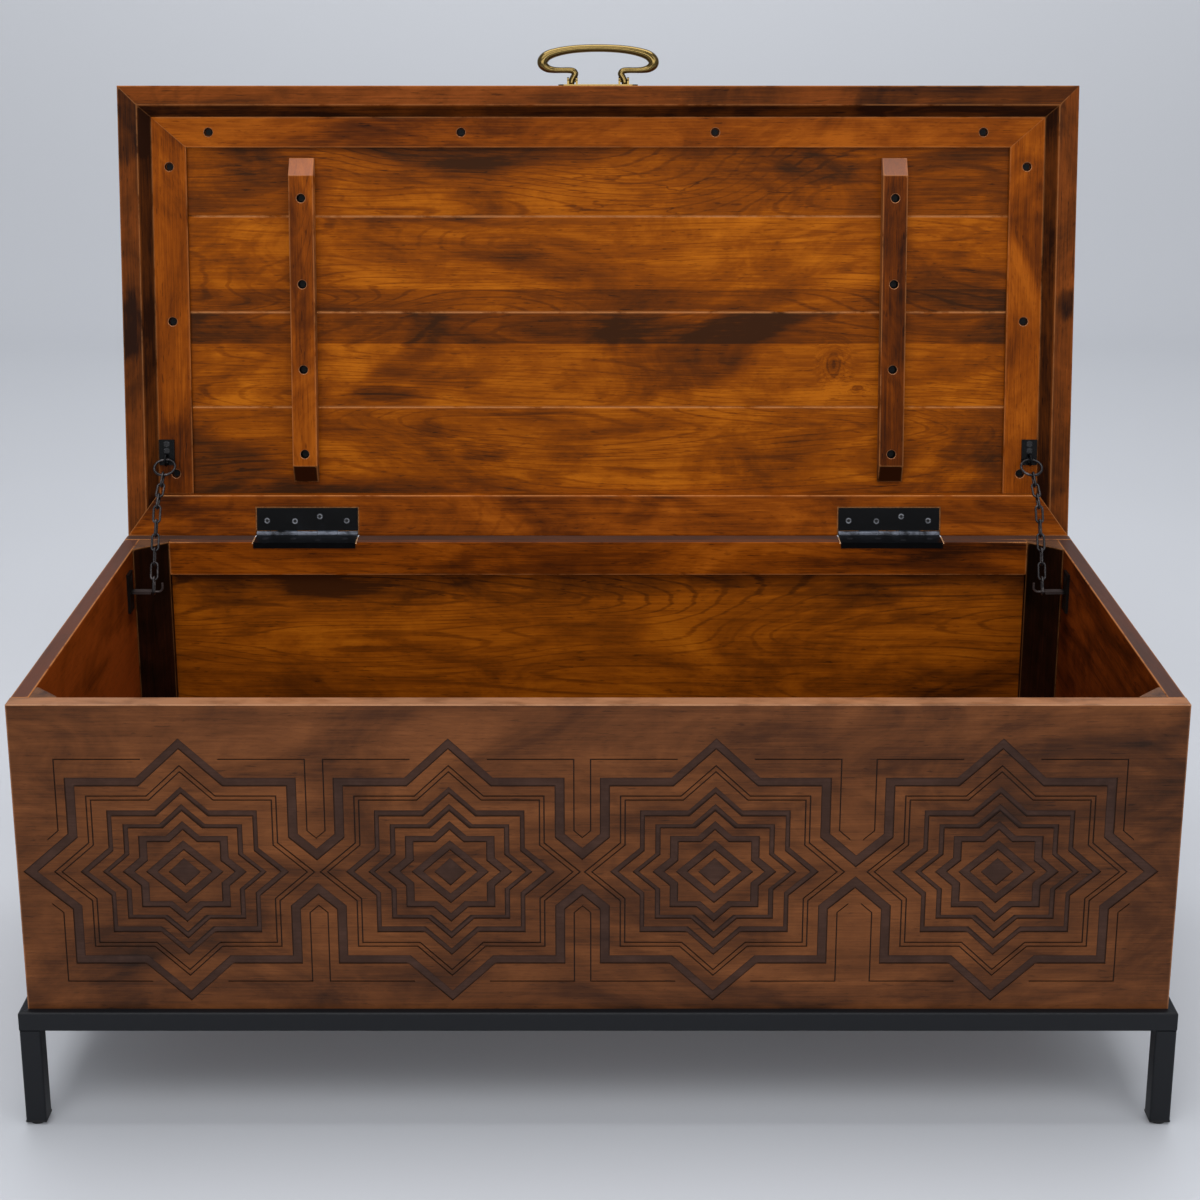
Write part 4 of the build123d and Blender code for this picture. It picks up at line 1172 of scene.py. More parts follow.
BLACK_STEEL = Metal(
    "black_steel", tone(15, 17, 21), tone(28, 31, 36),
    roughness=0.46, spread=0.10, rub_share=0.22, grainy=0.10, specular=0.22,
)
BLACK_IRON = HingeIron(
    "black_iron", tone(7, 8, 10), tone(30, 34, 42),
    roughness=0.32, spread=0.16, grainy=0.3, specular=0.09, lump=55.0,
)
BRACKET_IRON = BracketIron(
    "bracket_iron", tone(58, 50, 49), tone(98, 88, 86),
    metallic=0.3, spread=0.2, rub_share=0.5, grainy=0.3, specular=0.3, lump=90.0,
)
CHAIN_IRON = Metal(
    "chain_iron", tone(34, 32, 34), tone(112, 104, 104),
    metallic=0.6, roughness=0.40, spread=0.2, rub_share=0.7, grainy=0.35, lump=90.0,
)
SCREW_IRON = ScrewIron(
    "screw_iron", tone(24, 25, 28), tone(84, 86, 92),
    metallic=0.2, roughness=0.36, spread=0.2, rub_share=0.5, grainy=0.3, specular=0.3, lump=160.0,
)
WELL_IRON = Metal(
    "well_iron", tone(6, 6, 7), tone(20, 20, 22),
    roughness=0.5, spread=0.2, rub_share=0.4, grainy=0.3, specular=0.1, lump=90.0,
)
ZINC = Metal(
    "zinc_screw", tone(120, 121, 122), tone(160, 160, 160),
    metallic=0.9, roughness=0.35, spread=0.2, rub_share=0.4, grainy=0.2,
)
BRASS = Metal(
    "aged_brass", tone(104, 86, 46), tone(62, 50, 26),
    metallic=0.9, roughness=0.18, spread=0.06, rub_share=0.4, grainy=0.03, specular=0.8, lump=24.0,
)
BLACK_PLASTIC = Metal(
    "black_plastic", tone(22, 22, 23), tone(38, 38, 40),
    roughness=0.6, spread=0.1, grainy=0.3, specular=0.3,
)


@dataclass(frozen=True)
class BareWood:
    """Unstained wood: pale and deep fibres, and painted shade, nearly black, below a depth where it
    has one.
    """

    name: str
    tones: tuple[Colour, Colour]
    specular: float
    shade_from: Optional[float] = None
    fibre_span: Span = (0.35, 0.7)
    shade_fade: Span = (0.3 * MM, 0.9 * MM)
    roughness: float = 0.7

    def build(self) -> bpy.types.Material:
        """Fibres with a fine relief, and painted shade deep in a hole by the height in the lid."""
        g = Graph(self.name)
        fibre = SPECK.on(g, g.position)
        colour = g.mix(fibre.ramp(*self.fibre_span), *self.tones)
        # Painted shade: below the given depth the hole's wall turns nearly black.
        if self.shade_from is not None:
            _, _, height = g.split(lid_place(g))
            deep = height.ramp(*(self.shade_from + below for below in self.shade_fade))
            colour = g.mix(deep, colour, WELL_SHADE)
        g.bump(fibre, *BARE_RELIEF)
        g.surface(Base_Color=colour, Roughness=self.roughness, Specular_IOR_Level=self.specular)
        return g.material


def fresh_wood(name: str, tones: tuple[Colour, Colour]) -> bpy.types.Material:
    """Unstained wood, as a mortise's edge shows it."""
    return BareWood(name, tones, 0.2).build()


def well_wood(face: float) -> bpy.types.Material:
    """The wood inside a screw well: a pale rim at its face's height, then painted shade, nearly
    black, below it.
    """
    return BareWood("well_wood", WELL_RIM_WOOD, 0.1, face).build()


# ------------------------------------------------------------------ meshes
ODD_AXES = ((0, 2, 1), (2, 1, 0), (1, 0, 2))
LARGEST_FADE = 0.33


def make_piece(
    name: str,
    vertices: np.ndarray,
    quads: np.ndarray,
    caps: Sequence[np.ndarray] = (),
    wear: Optional[np.ndarray] = None,
) -> bpy.types.Object:
    """Put a computed surface into a mesh object at the origin.

    Args:
        name: the piece's name.
        vertices: rows of x, y and z in metres.
        quads: rows of four vertex numbers, seen from outside in turn.
        caps: closing faces, each a row of vertex numbers.
        wear: a number 0 to 1 for each vertex, how far its place is rubbed.

    Returns:
        The new object, linked to the scene.
    """
    faces = [row.tolist() for row in quads] + [list(cap) for cap in caps]
    mesh = bpy.data.meshes.new(name)
    mesh.from_pydata(vertices.tolist(), [], faces)
    mesh.polygons.foreach_set("use_smooth", np.ones(len(faces), bool))
    if wear is not None:
        kept = mesh.attributes.new("wear", "FLOAT", "POINT")
        kept.data.foreach_set("value", wear.astype(np.float32))
    mesh.update()
    mesh.set_sharp_from_angle(angle=SHARP_ANGLE)
    piece = bpy.data.objects.new(name, mesh)
    bpy.context.scene.collection.objects.link(piece)
    return piece


def unit(rows: np.ndarray) -> np.ndarray:
    """Rows scaled to length 1."""
    return rows / np.linalg.norm(rows, axis=-1, keepdims=True)


def edge_wear(angle: np.ndarray) -> np.ndarray:
    """How far a rounded edge is rubbed: 0.55 plus 0.45 times the sine of an angle across it."""
    return 0.55 + 0.45 * np.sin(angle)


def tube_quads(number: np.ndarray) -> np.ndarray:
    """The faces between neighbouring points of a grid whose rows close to a ring.

    Args:
        number: the points' numbers, a row for each place round the ring.

    Returns:
        Rows of four numbers: a point, the next one round, and the same two one step along.
    """
    right = np.roll(number, -1, axis=0)
    quads = np.stack([number[:, :-1], right[:, :-1], right[:, 1:], number[:, 1:]], axis=2)
    return quads.reshape(-1, 4)


def softened_outline(
    corners: np.ndarray, radius: float, fade: float, steps: int = 4
) -> tuple[np.ndarray, np.ndarray, np.ndarray]:
    """Round every corner of a convex outline that runs anticlockwise.

    Each corner becomes an arc about the point that lies one radius inside both its edges, and each
    straight edge gets two more points, a fade's length from its arcs, where wear has ended.

    Args:
        corners: the outline's corners in turn.
        radius: the arcs' radius.
        fade: how far from an arc its wear ends.
        steps: spans in each arc.

    Returns:
        The points, their outward normals and their wear.
    """
    before = unit(corners - np.roll(corners, 1, axis=0))
    after = unit(np.roll(corners, -1, axis=0) - corners)
    normal = np.column_stack([before[:, 1], -before[:, 0]])
    cross = before[:, 0] * after[:, 1] - before[:, 1] * after[:, 0]
    turn = np.arctan2(cross, np.sum(before * after, axis=1))
    reach = radius * np.tan(turn / 2)
    centre = corners - before * reach[:, None] - normal * radius
    share = np.linspace(0.0, 1.0, steps + 1)
    angle = turn[:, None] * share[None, :]
    c, s = np.cos(angle), np.sin(angle)
    nx = normal[:, 0:1] * c - normal[:, 1:2] * s
    ny = normal[:, 0:1] * s + normal[:, 1:2] * c
    arc_normals = np.stack([nx, ny], axis=2)
    arcs = centre[:, None, :] + radius * arc_normals
    next_start = np.roll(arcs[:, 0, :], -1, axis=0)
    run = next_start - arcs[:, -1, :]
    length = np.linalg.norm(run, axis=1)
    part = np.minimum(fade / length, LARGEST_FADE)[:, None]
    first = arcs[:, -1, :] + run * part
    second = next_start - run * part
    flat_normal = arc_normals[:, -1, :]
    points = np.concatenate([arcs, first[:, None, :], second[:, None, :]], axis=1)
    flat = flat_normal[:, None, :]
    normals = np.concatenate([arc_normals, flat, flat], axis=1)
    peak = edge_wear(math.pi * share)
    wear = np.concatenate([np.tile(peak, (len(corners), 1)), np.zeros((len(corners), 2))], axis=1)
    return points.reshape(-1, 2), normals.reshape(-1, 2), wear.reshape(-1)


@dataclass(frozen=True)
class Cut:
    """How a bar ends: its place along the bar at the outline's origin, and how it slants."""

    along: float
    slope_u: float = 0.0
    slope_v: float = 0.0

    def at(self, outline: np.ndarray) -> np.ndarray:
        """Where the end lies for each point of the outline."""
        return self.along + self.slope_u * outline[:, 0] + self.slope_v * outline[:, 1]




@dataclass(frozen=True)
class Bar:
    """A bar with softened edges: an outline carried from one cut to the other.

    axes gives, for the outline's two directions and the bar's length, which column of the result
    each one becomes: (1, 2, 0) is an outline in the second and third columns, carried along the
    first.
    """

    outline: Sequence[tuple[float, float]]
    start: Cut
    end: Cut
    axes: tuple[int, int, int]
    radius: float = 1.0 * MM
    fade: float = 2.5 * MM
    end_radius: float = 0.85 * MM
    steps: int = 4

    def rings(self) -> tuple[np.ndarray, np.ndarray, np.ndarray]:
        """The rings near an end.

        Near each end the outline draws in by radius times 1 - sin and the place along the bar moves
        by radius times 1 - cos of an angle from 0 to 90 degrees, which rounds the end's edges too.

        Returns:
            How far each ring draws in, its distance from the cut and its wear.
        """
        angle = np.linspace(0.0, math.pi / 2, self.steps + 1)
        inset = np.append(self.end_radius * (1 - np.sin(angle)), 0.0)
        offset = np.append(self.end_radius * (1 - np.cos(angle)), self.end_radius + self.fade)
        wear = np.append(edge_wear(2 * angle), 0.0)
        return inset, offset, wear

    def grid(self) -> tuple[np.ndarray, np.ndarray, list[np.ndarray], np.ndarray]:
        """Carry the outline along the bar.

        Returns:
            The vertices, the quads, the two end rings and the wear.
        """
        corners = np.array(self.outline, float)
        ahead = np.roll(corners, -1, axis=0)
        if np.sum(corners[:, 0] * ahead[:, 1] - ahead[:, 0] * corners[:, 1]) < 0:
            corners = corners[::-1]
        points, normals, wear = softened_outline(corners, self.radius, self.fade, self.steps)
        inset, offset, ring_breakup = self.rings()
        first = self.start.at(points)[:, None] + offset[None, :]
        last = self.end.at(points)[:, None] - offset[::-1][None, :]
        insets = np.concatenate([inset, inset[::-1]])
        count, rings = len(points), len(insets)
        columns = np.zeros((count, rings, 3))
        columns[:, :, self.axes[0]] = points[:, 0:1] - normals[:, 0:1] * insets[None, :]
        columns[:, :, self.axes[1]] = points[:, 1:2] - normals[:, 1:2] * insets[None, :]
        columns[:, :, self.axes[2]] = np.concatenate([first, last], axis=1)
        worn = np.maximum(wear[:, None], np.concatenate([ring_breakup, ring_breakup[::-1]])[None, :])
        number = np.arange(count * rings).reshape(count, rings)
        quads = tube_quads(number)
        caps = [number[::-1, 0], number[:, -1]]
        if self.axes in ODD_AXES:
            quads = quads[:, ::-1]
            caps = [cap[::-1] for cap in caps]
        return columns.reshape(-1, 3), quads, caps, worn.reshape(-1)

    def piece(self, name: str, lean: Optional[Lean] = None) -> bpy.types.Object:
        """Make the bar an object.

        Args:
            name: the object's name.
            lean: the open lid's frame, for a bar that is drawn in the shut lid.

        Returns:
            The object, in the chest's frame.
        """
        vertices, quads, caps, wear = self.grid()
        if lean is not None:
            vertices = lean.place(vertices)
        return make_piece(name, vertices, quads, caps, wear)


@dataclass(frozen=True)
class Turned:
    """A round shape: a profile of radius and place along an axis, turned about that axis.

    A vertex is the centre plus radius times the cosine and sine of its angle in the two axes across
    the axis, and the profile's second number along it. The profile starts and ends on the axis.
    """

    profile: Sequence[tuple[float, float]]
    centre: tuple[float, float, float]
    axis: int = 2
    steps: int = 24

    def piece(self, name: str, lean: Optional[Lean] = None) -> bpy.types.Object:
        """Make the shape an object.

        Args:
            name: the object's name.
            lean: the open lid's frame, for a shape that is drawn in the shut lid.

        Returns:
            The object, in the chest's frame.
        """
        radius, along = np.array(self.profile[1:-1], float).T
        angle = np.linspace(0.0, 2 * math.pi, self.steps, endpoint=False)
        u, v = (self.axis + 1) % 3, (self.axis + 2) % 3
        columns = np.zeros((self.steps, len(radius), 3))
        columns[:, :, u] = self.centre[u] + np.cos(angle)[:, None] * radius[None, :]
        columns[:, :, v] = self.centre[v] + np.sin(angle)[:, None] * radius[None, :]
        columns[:, :, self.axis] = self.centre[self.axis] + along[None, :]
        poles = np.tile(np.array(self.centre, float), (2, 1))
        poles[:, self.axis] += [self.profile[0][1], self.profile[-1][1]]
        vertices = np.concatenate([columns.reshape(-1, 3), poles])
        number = np.arange(self.steps * len(radius)).reshape(self.steps, len(radius))
        right = np.roll(number, -1, axis=0)
        first, last = len(vertices) - 2, len(vertices) - 1
        fans = [(first, b, a) for a, b in zip(number[:, 0].tolist(), right[:, 0].tolist())]
        fans += [(last, a, b) for a, b in zip(number[:, -1].tolist(), right[:, -1].tolist())]
        if lean is not None:
            vertices = lean.place(vertices)
        return make_piece(name, vertices, tube_quads(number), fans)


@dataclass(frozen=True)
class Prism:
    """A sharp-edged shape to cut with: an outline, hollow corners allowed, carried straight.

    The outline runs anticlockwise seen against the way it is carried, and axes gives the columns as
    a Bar's do, in an even order.
    """

    outline: Sequence[tuple[float, float]]
    start: float
    end: float
    axes: tuple[int, int, int] = (1, 2, 0)

    def piece(self, name: str, lean: Optional[Lean] = None) -> bpy.types.Object:
        """Make the shape an object.

        Args:
            name: the object's name.
            lean: the open lid's frame, for a shape that is drawn in the shut lid.

        Returns:
            The object, in the chest's frame.
        """
        rows = np.array(self.outline, float)
        count = len(rows)
        columns = np.zeros((2, count, 3))
        columns[:, :, self.axes[0]] = rows[None, :, 0]
        columns[:, :, self.axes[1]] = rows[None, :, 1]
        columns[:, :, self.axes[2]] = np.array([[self.start], [self.end]])
        number = np.arange(2 * count).reshape(2, count)
        right = np.roll(number, -1, axis=1)
        quads = np.stack([number[0], right[0], right[1], number[1]], axis=1)
        vertices = columns.reshape(-1, 3)
        if lean is not None:
            vertices = lean.place(vertices)
        return make_piece(name, vertices, quads, [number[0, ::-1], number[1]])


def plate(low: Sequence[float], high: Sequence[float], radius: float = MM, along: int = 0) -> Bar:
    """A board between two corners, carried along one of its axes.

    Args:
        low: the lowest corner.
        high: the highest corner.
        radius: how far its edges are rounded.
        along: the axis that the board is carried along.

    Returns:
        The bar that makes it.
    """
    u, v = [axis for axis in (0, 1, 2) if axis != along]
    outline = [(low[u], low[v]), (high[u], low[v]), (high[u], high[v]), (low[u], high[v])]
    return Bar(outline, Cut(low[along]), Cut(high[along]), (u, v, along), radius)


def dress(piece: bpy.types.Object, material: bpy.types.Material) -> None:
    """Give an object one material."""
    piece.data.materials.clear()
    piece.data.materials.append(material)


def dress_node(node: str, material: bpy.types.Material) -> None:
    """Give a node of the frame its finish."""
    dress(frame["nodes"][node], material)
    LOG.info("dressed %s", node)


def places_and_wear(mesh: bpy.types.Mesh) -> tuple[np.ndarray, np.ndarray]:
    """A number that tells each vertex's place apart, and its wear.

    Each place is rounded to a micrometre and its three whole numbers are added up, each times a
    large prime.

    Args:
        mesh: the mesh whose vertices are read.

    Returns:
        The places' numbers and the wear, in the order of the vertices.
    """
    rows = np.empty(3 * len(mesh.vertices), np.float32)
    mesh.vertices.foreach_get("co", rows)
    whole = np.round(rows.reshape(-1, 3).astype(float) * MICROMETRES).astype(np.int64)
    wear = np.zeros(len(mesh.vertices), np.float32)
    kept = mesh.attributes.get("wear")
    if kept is not None and kept.domain == "POINT":
        kept.data.foreach_get("value", wear)
    return whole @ np.array(PLACE_PRIMES), wear


def carved_out(
    piece: bpy.types.Object, cutters: Sequence[bpy.types.Object], inside: bpy.types.Material
) -> None:
    """Cut holes in a piece and leave the result as its own mesh.

    Args:
        piece: the piece to cut.
        cutters: closed shapes to take away; they are removed afterwards.
        inside: the finish of the faces that the cut lays bare.
    """
    for cutter in cutters:
        dress(cutter, inside)
        modifier = piece.modifiers.new("hole", "BOOLEAN")
        modifier.operation = "DIFFERENCE"
        modifier.solver = "EXACT"
        modifier.material_mode = "TRANSFER"
        modifier.object = cutter
    keys, wear = places_and_wear(piece.data)
    graph = bpy.context.evaluated_depsgraph_get()
    mesh = bpy.data.meshes.new_from_object(piece.evaluated_get(graph), depsgraph=graph)
    piece.modifiers.clear()
    order = np.argsort(keys)
    new_keys, _ = places_and_wear(mesh)
    slot = np.clip(np.searchsorted(keys[order], new_keys), 0, len(keys) - 1)
    found = order[slot]
    kept = np.where(keys[found] == new_keys, wear[found], 0.0).astype(np.float32)
    held = mesh.attributes.get("wear") or mesh.attributes.new("wear", "FLOAT", "POINT")
    held.data.foreach_set("value", kept)
    old, name = piece.data, piece.data.name
    piece.data = mesh
    bpy.data.meshes.remove(old)
    mesh.name = name
    mesh.set_sharp_from_angle(angle=SHARP_ANGLE)
    for cutter in cutters:
        bpy.data.objects.remove(cutter)


@dataclass(frozen=True)
class Place:
    """Where a new piece belongs: the node it stands for, its body and its record slot."""

    node: str
    body: str
    slot: str

    def take(
        self,
        piece: bpy.types.Object,
        material: bpy.types.Material,
        cutters: Sequence[bpy.types.Object] = (),
        inside: Optional[bpy.types.Material] = None,
    ) -> None:
        """Dress a new piece, cut its holes and let it stand for its node.

        Args:
            piece: the new piece.
            material: its finish.
            cutters: what to take away from it.
            inside: the finish of the cut faces.
        """
        dress(piece, material)
        if cutters:
            carved_out(piece, cutters, inside or material)
        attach(piece, self.body)
        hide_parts(self.node)
        LOG.info("made %s for %s", piece.name, self.node)


# ------------------------------------------------------------------ sub-assemblies
@dataclass
class Box:
    """The wooden box with its carved front."""

    edge: float = 0.9 * MM
    clear: float = SIZES.top + 3 * MM
    rail: Any = field(default_factory=lambda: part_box("back_top_rail"))
    post_back: Any = field(default_factory=lambda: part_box("corner_post_back_right"))
    post_front: Any = field(default_factory=lambda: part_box("corner_post_front_right"))
    front_post_land: float = 3 * MM
    post_edge: float = 0.6 * MM
    rail_shadow_reach: float = 70 * MM
    cut_past: float = 2 * MM

    def woods(self) -> dict[str, bpy.types.Material]:
        """The finishes of the box's boards."""
        low, high = SIZES.front
        # The walls' upper faces, at this height, get a painted grey sheen.
        sheen_top = SIZES.top
        carved = CarvedWood(
            "front_wood", UMBER, seed=2.3, level=0.59, smoke=0.85, cloud=1.1, figure=0.35,
            gloss=0.42, specular=0.12, face_y=low.y, top_z=high.z, end_x=high.x,
        )
        # Painted shadow on the back wall for 70 mm below the rail that stands proud of it.
        rail_shadow_band = (self.rail[0].z, self.rail[0].z - self.rail_shadow_reach, 0.34)
        # The two side boards share one stain: the left is set paler and the right deeper, as
        # painted light and shade of the two inner walls.
        left = Wood(
            "side_left_wood", RUSSET, Grain.DEPTH, seed=3.9, level=0.84, smoke=0.7, sheen_top=sheen_top
        )
        right = Wood(
            "side_right_wood", RUSSET, Grain.DEPTH, seed=7.9, level=0.46, smoke=0.6, sheen_top=sheen_top
        )
        boards = {
            "front": carved,
            "back": Wood(
                "back_wood", HONEY, seed=5.1, figure=1.5, sheen_top=sheen_top, rail_shadow=rail_shadow_band
            ),
            "rail": Wood("back_rail_wood", TAWNY, seed=7.7, level=0.54, figure=0.6, sheen_top=sheen_top),
            "left": left,
            "right": right,
            # Painted shade: the corner blocks are kept nearly black.
            "post": Wood("post_wood", SHADE, Grain.UPRIGHT, seed=4.4, wear=0.5, sheen_top=sheen_top),
            "floor": Wood("floor_wood", RUSSET, seed=8.2),
        }
        woods = {name: board.build() for name, board in boards.items()}
        woods["bare"] = fresh_wood("fresh_wood", FRESH_WOOD)
        return woods

    def mortises(self) -> list[bpy.types.Object]:
        """What the hinge leaves take out of the back wall's top."""
        half = SIZES.hinge_mortise_half
        floor = SIZES.top - SIZES.leaf_thickness
        shapes = []
        for middle in SIZES.hinge_middles():
            front, back = self.rail[0].y - self.cut_past, SIZES.back[1].y + self.cut_past
            outline = [(front, floor), (back, floor), (back, self.clear), (front, self.clear)]
            shapes.append(Prism(outline, middle - half, middle + half).piece("mortise"))
        return shapes

    def sides(self, woods: dict[str, bpy.types.Material]) -> None:
        """The two side boards.

        Args:
            woods: the boards' finishes by name.
        """
        low, high = SIZES.side
        for side, name in SIDES:
            corners = sorted((side * low.x, side * high.x))
            board = plate((corners[0], low.y, low.z), (corners[1], high.y, high.z), self.edge, 1)
            piece = board.piece(f"side_board_{name}")
            Place(f"side_panel_{name}", "chest", "box_walnut").take(piece, woods[name])

    def backs(self, woods: dict[str, bpy.types.Material]) -> None:
        """The back board and the rail along its top, let in for the hinges.

        Args:
            woods: the boards' finishes by name.
        """
        board = plate(*SIZES.back, self.edge).piece("back_board")
        place = Place("back_panel", "chest", "box_walnut")
        place.take(board, woods["back"], self.mortises(), woods["bare"])
        rail = plate(*self.rail, self.edge).piece("back_rail_board")
        place = Place("back_top_rail", "chest", "box_walnut")
        place.take(rail, woods["rail"], self.mortises(), woods["bare"])

    def posts(self, woods: dict[str, bpy.types.Material]) -> None:
        """The four corner blocks: splayed at the back, three-sided with blunt tips at the front.

        Args:
            woods: the boards' finishes by name.
        """
        low, high = self.post_back
        rail_face = self.rail[0].y
        back = [(high.x, high.y), (low.x, high.y), (low.x, rail_face), (high.x, low.y)]
        low_f, high_f = self.post_front
        land = self.front_post_land
        front = [(high_f.x, low_f.y), (high_f.x, high_f.y), (high_f.x - land, high_f.y)]
        front += [(low_f.x, low_f.y + land), (low_f.x, low_f.y)]
        for end, outline in (("back", back), ("front", front)):
            for side, name in SIDES:
                turned = [(side * x, y) for x, y in outline]
                bar = Bar(turned, Cut(low.z), Cut(high.z), (0, 1, 2), self.post_edge)
                piece = bar.piece(f"corner_block_{end}_{name}")
                place = Place(f"corner_post_{end}_{name}", "chest", "box_walnut")
                place.take(piece, woods["post"])

    def build(self) -> None:
        """Make and dress the box's boards."""
        woods = self.woods()
        dress_node("front_panel", woods["front"])
        dress_node("floor_panel", woods["floor"])
        dress_node("floor_cleats", woods["floor"])
        self.sides(woods)
        self.backs(woods)
        self.posts(woods)


@dataclass
class Lid:
    """The framed lid with its planks and battens."""

    edge: float = 1.0 * MM
    mitre_edge: float = 0.3 * MM
    plank_edge: float = 0.8 * MM
    plank_seam: float = 0.1 * MM
    frame_well: float = 6 * MM
    batten_well: float = 9 * MM
    well_rim: float = 0.7 * MM
    cut_past: float = 3 * MM
    batten_levels: tuple[float, float] = (0.28, 0.80)
    batten_seed: float = 11.0
    tip_shade: float = 0.85
    plank_levels: tuple[float, ...] = (0.53, 0.70, 0.74, 0.62)
    plank_seeds: tuple[float, float] = (1.3, 2.1)

    def strips(self) -> dict[int, tuple[tuple[float, float, float], ...]]:
        """The darker strips glued into the planks, by plank: front, back and how dark."""
        return {2: ((233.5 * MM, 260 * MM, 0.26),), 3: ((260.5 * MM, 297 * MM, 0.36),)}

    def knots(self) -> dict[int, tuple[Knot, ...]]:
        """The knots in each plank."""
        upper = Knot((0.276, 0.322), (0.012, 0.022), 0.42)
        lower = Knot((0.303, 0.349), (0.009, 0.005), 0.40)
        return {3: (upper, lower)}

    def smudges(self) -> dict[int, tuple[Smudge, ...]]:
        """The darker patches in each plank, and the golden ones as patches below 0."""
        return {
            1: (
                Smudge((-0.150, 0.092), (0.085, 0.018), 0.26),
                Smudge((-0.400, 0.105), (0.06, 0.035), 0.16),
                Smudge((0.254, 0.095), (0.065, 0.028), 0.32),
                Smudge((0.411, 0.112), (0.07, 0.05), 0.20),
            ),
            2: (Smudge((0.412, 0.206), (0.07, 0.06), 0.20),),
            3: (
                Smudge((-0.251, 0.354), (0.040, 0.014), 0.26),
                Smudge((-0.02, 0.279), (0.16, 0.016), 0.12),
            ),
            4: (
                Smudge((-0.130, 0.426), (0.060, 0.024), 0.44),
                Smudge((-0.200, 0.400), (0.030, 0.020), 0.26),
                Smudge((0.231, 0.412), (0.05, 0.034), 0.22),
                Smudge((-0.414, 0.440), (0.06, 0.028), 0.22),
                Smudge((0.035, 0.458), (0.16, 0.014), -0.26),
                Smudge((0.330, 0.452), (0.11, 0.016), -0.22),
            ),
        }

    def planks(self) -> None:
        """The four planks, each of its own board."""
        strips, knots, smudges = self.strips(), self.knots(), self.smudges()
        crackles = {1: (Crackle((0.05, 0.11), (0.17, 0.045), 0.26),)}
        # The planks' borders by the frame are darkened by pooled stain and painted shade from the
        # frame standing proud.
        border = BorderStainAndShade(
            SIZES.half_width - SIZES.rim_width - SIZES.frame_side_width,
            SIZES.rim_width + SIZES.frame_front_width, SIZES.rail_line,
        )
        seam = self.plank_seam / 2
        last = len(SIZES.plank_edges) - 2
        first_seed, seed_step = self.plank_seeds
        for index, level in enumerate(self.plank_levels):
            start = SIZES.plank_edges[index] + (seam if index > 0 else 0.0)
            end = SIZES.plank_edges[index + 1] - (seam if index < last else 0.0)
            low = (-SIZES.half_width, start, SIZES.rim_depth)
            high = (SIZES.half_width, end, SIZES.lid_thickness)
            number = index + 1
            wood = Wood(
                f"plank_{number}_wood", AMBER, seed=first_seed + seed_step * index, level=level,
                lean=True, smoke=0.9, figure=1.2, wear=1.4, border_stain_and_shade=border,
                knots=knots.get(number, ()), bands=strips.get(number, ()),
                smudges=smudges[number], crackles=crackles.get(number, ()),
            )
            board = plate(low, high, self.plank_edge)
            piece = board.piece(f"plank_board_{number}", LEAN)
            place = Place(f"lid_plank_{number}", "lid", "lid_plank_wood")
            place.take(piece, wood.build())

    def rim(self) -> None:
        """The rim's three sloped bars and the flat hinge rail, mitred together."""
        # The rim's sloped hollow is darkened by painted shade with a deeper stain.
        wood = Wood("rim_wood", CHESTNUT, seed=6.1, lean=True, hollow=0.38, wear=0.7).build()
        marks = (
            Smudge((-0.546, 0.27), (0.03, 0.05), 0.5),
            Smudge((0.546, 0.25), (0.02, 0.022), 0.45),
        )
        side_wood = Wood(
            "rim_side_wood", CHESTNUT, Grain.DEPTH, seed=6.6, lean=True, hollow=0.34,
            smudges=marks, wear=0.6,
        ).build()
        rail_wood = Wood(
            "hinge_rail_wood", TAWNY, seed=6.4, lean=True, level=0.56, figure=0.6
        ).build()
        half, depth, run = SIZES.half_width, SIZES.lid_depth, SIZES.rim_width
        foot = SIZES.rim_slope_drop
        section = [(0.0, 0.0), (SIZES.rim_face, 0.0), (run, foot), (run, SIZES.rim_depth)]
        section.append((0.0, SIZES.rim_depth))
        bar = Bar(section, Cut(-half, 1.0), Cut(half, -1.0), (1, 2, 0), self.edge)
        bar = replace(bar, end_radius=self.mitre_edge)
        place = Place("lid_rim_front", "lid", "lid_rim_wood")
        place.take(bar.piece("rim_bar_front", LEAN), wood)
        back_slope = (depth - SIZES.rail_line) / run
        for side, name in SIDES:
            outline = [(side * (half - inward), rise) for inward, rise in section]
            start = Cut(half, -side)
            end = Cut(depth - back_slope * half, side * back_slope)
            bar = Bar(outline, start, end, (0, 2, 1), self.edge, end_radius=self.mitre_edge)
            place = Place(f"lid_rim_{name}", "lid", "lid_rim_wood")
            place.take(bar.piece(f"rim_bar_{name}", LEAN), side_wood)
        self.hinge_rail(rail_wood, run / (depth - SIZES.rail_line))

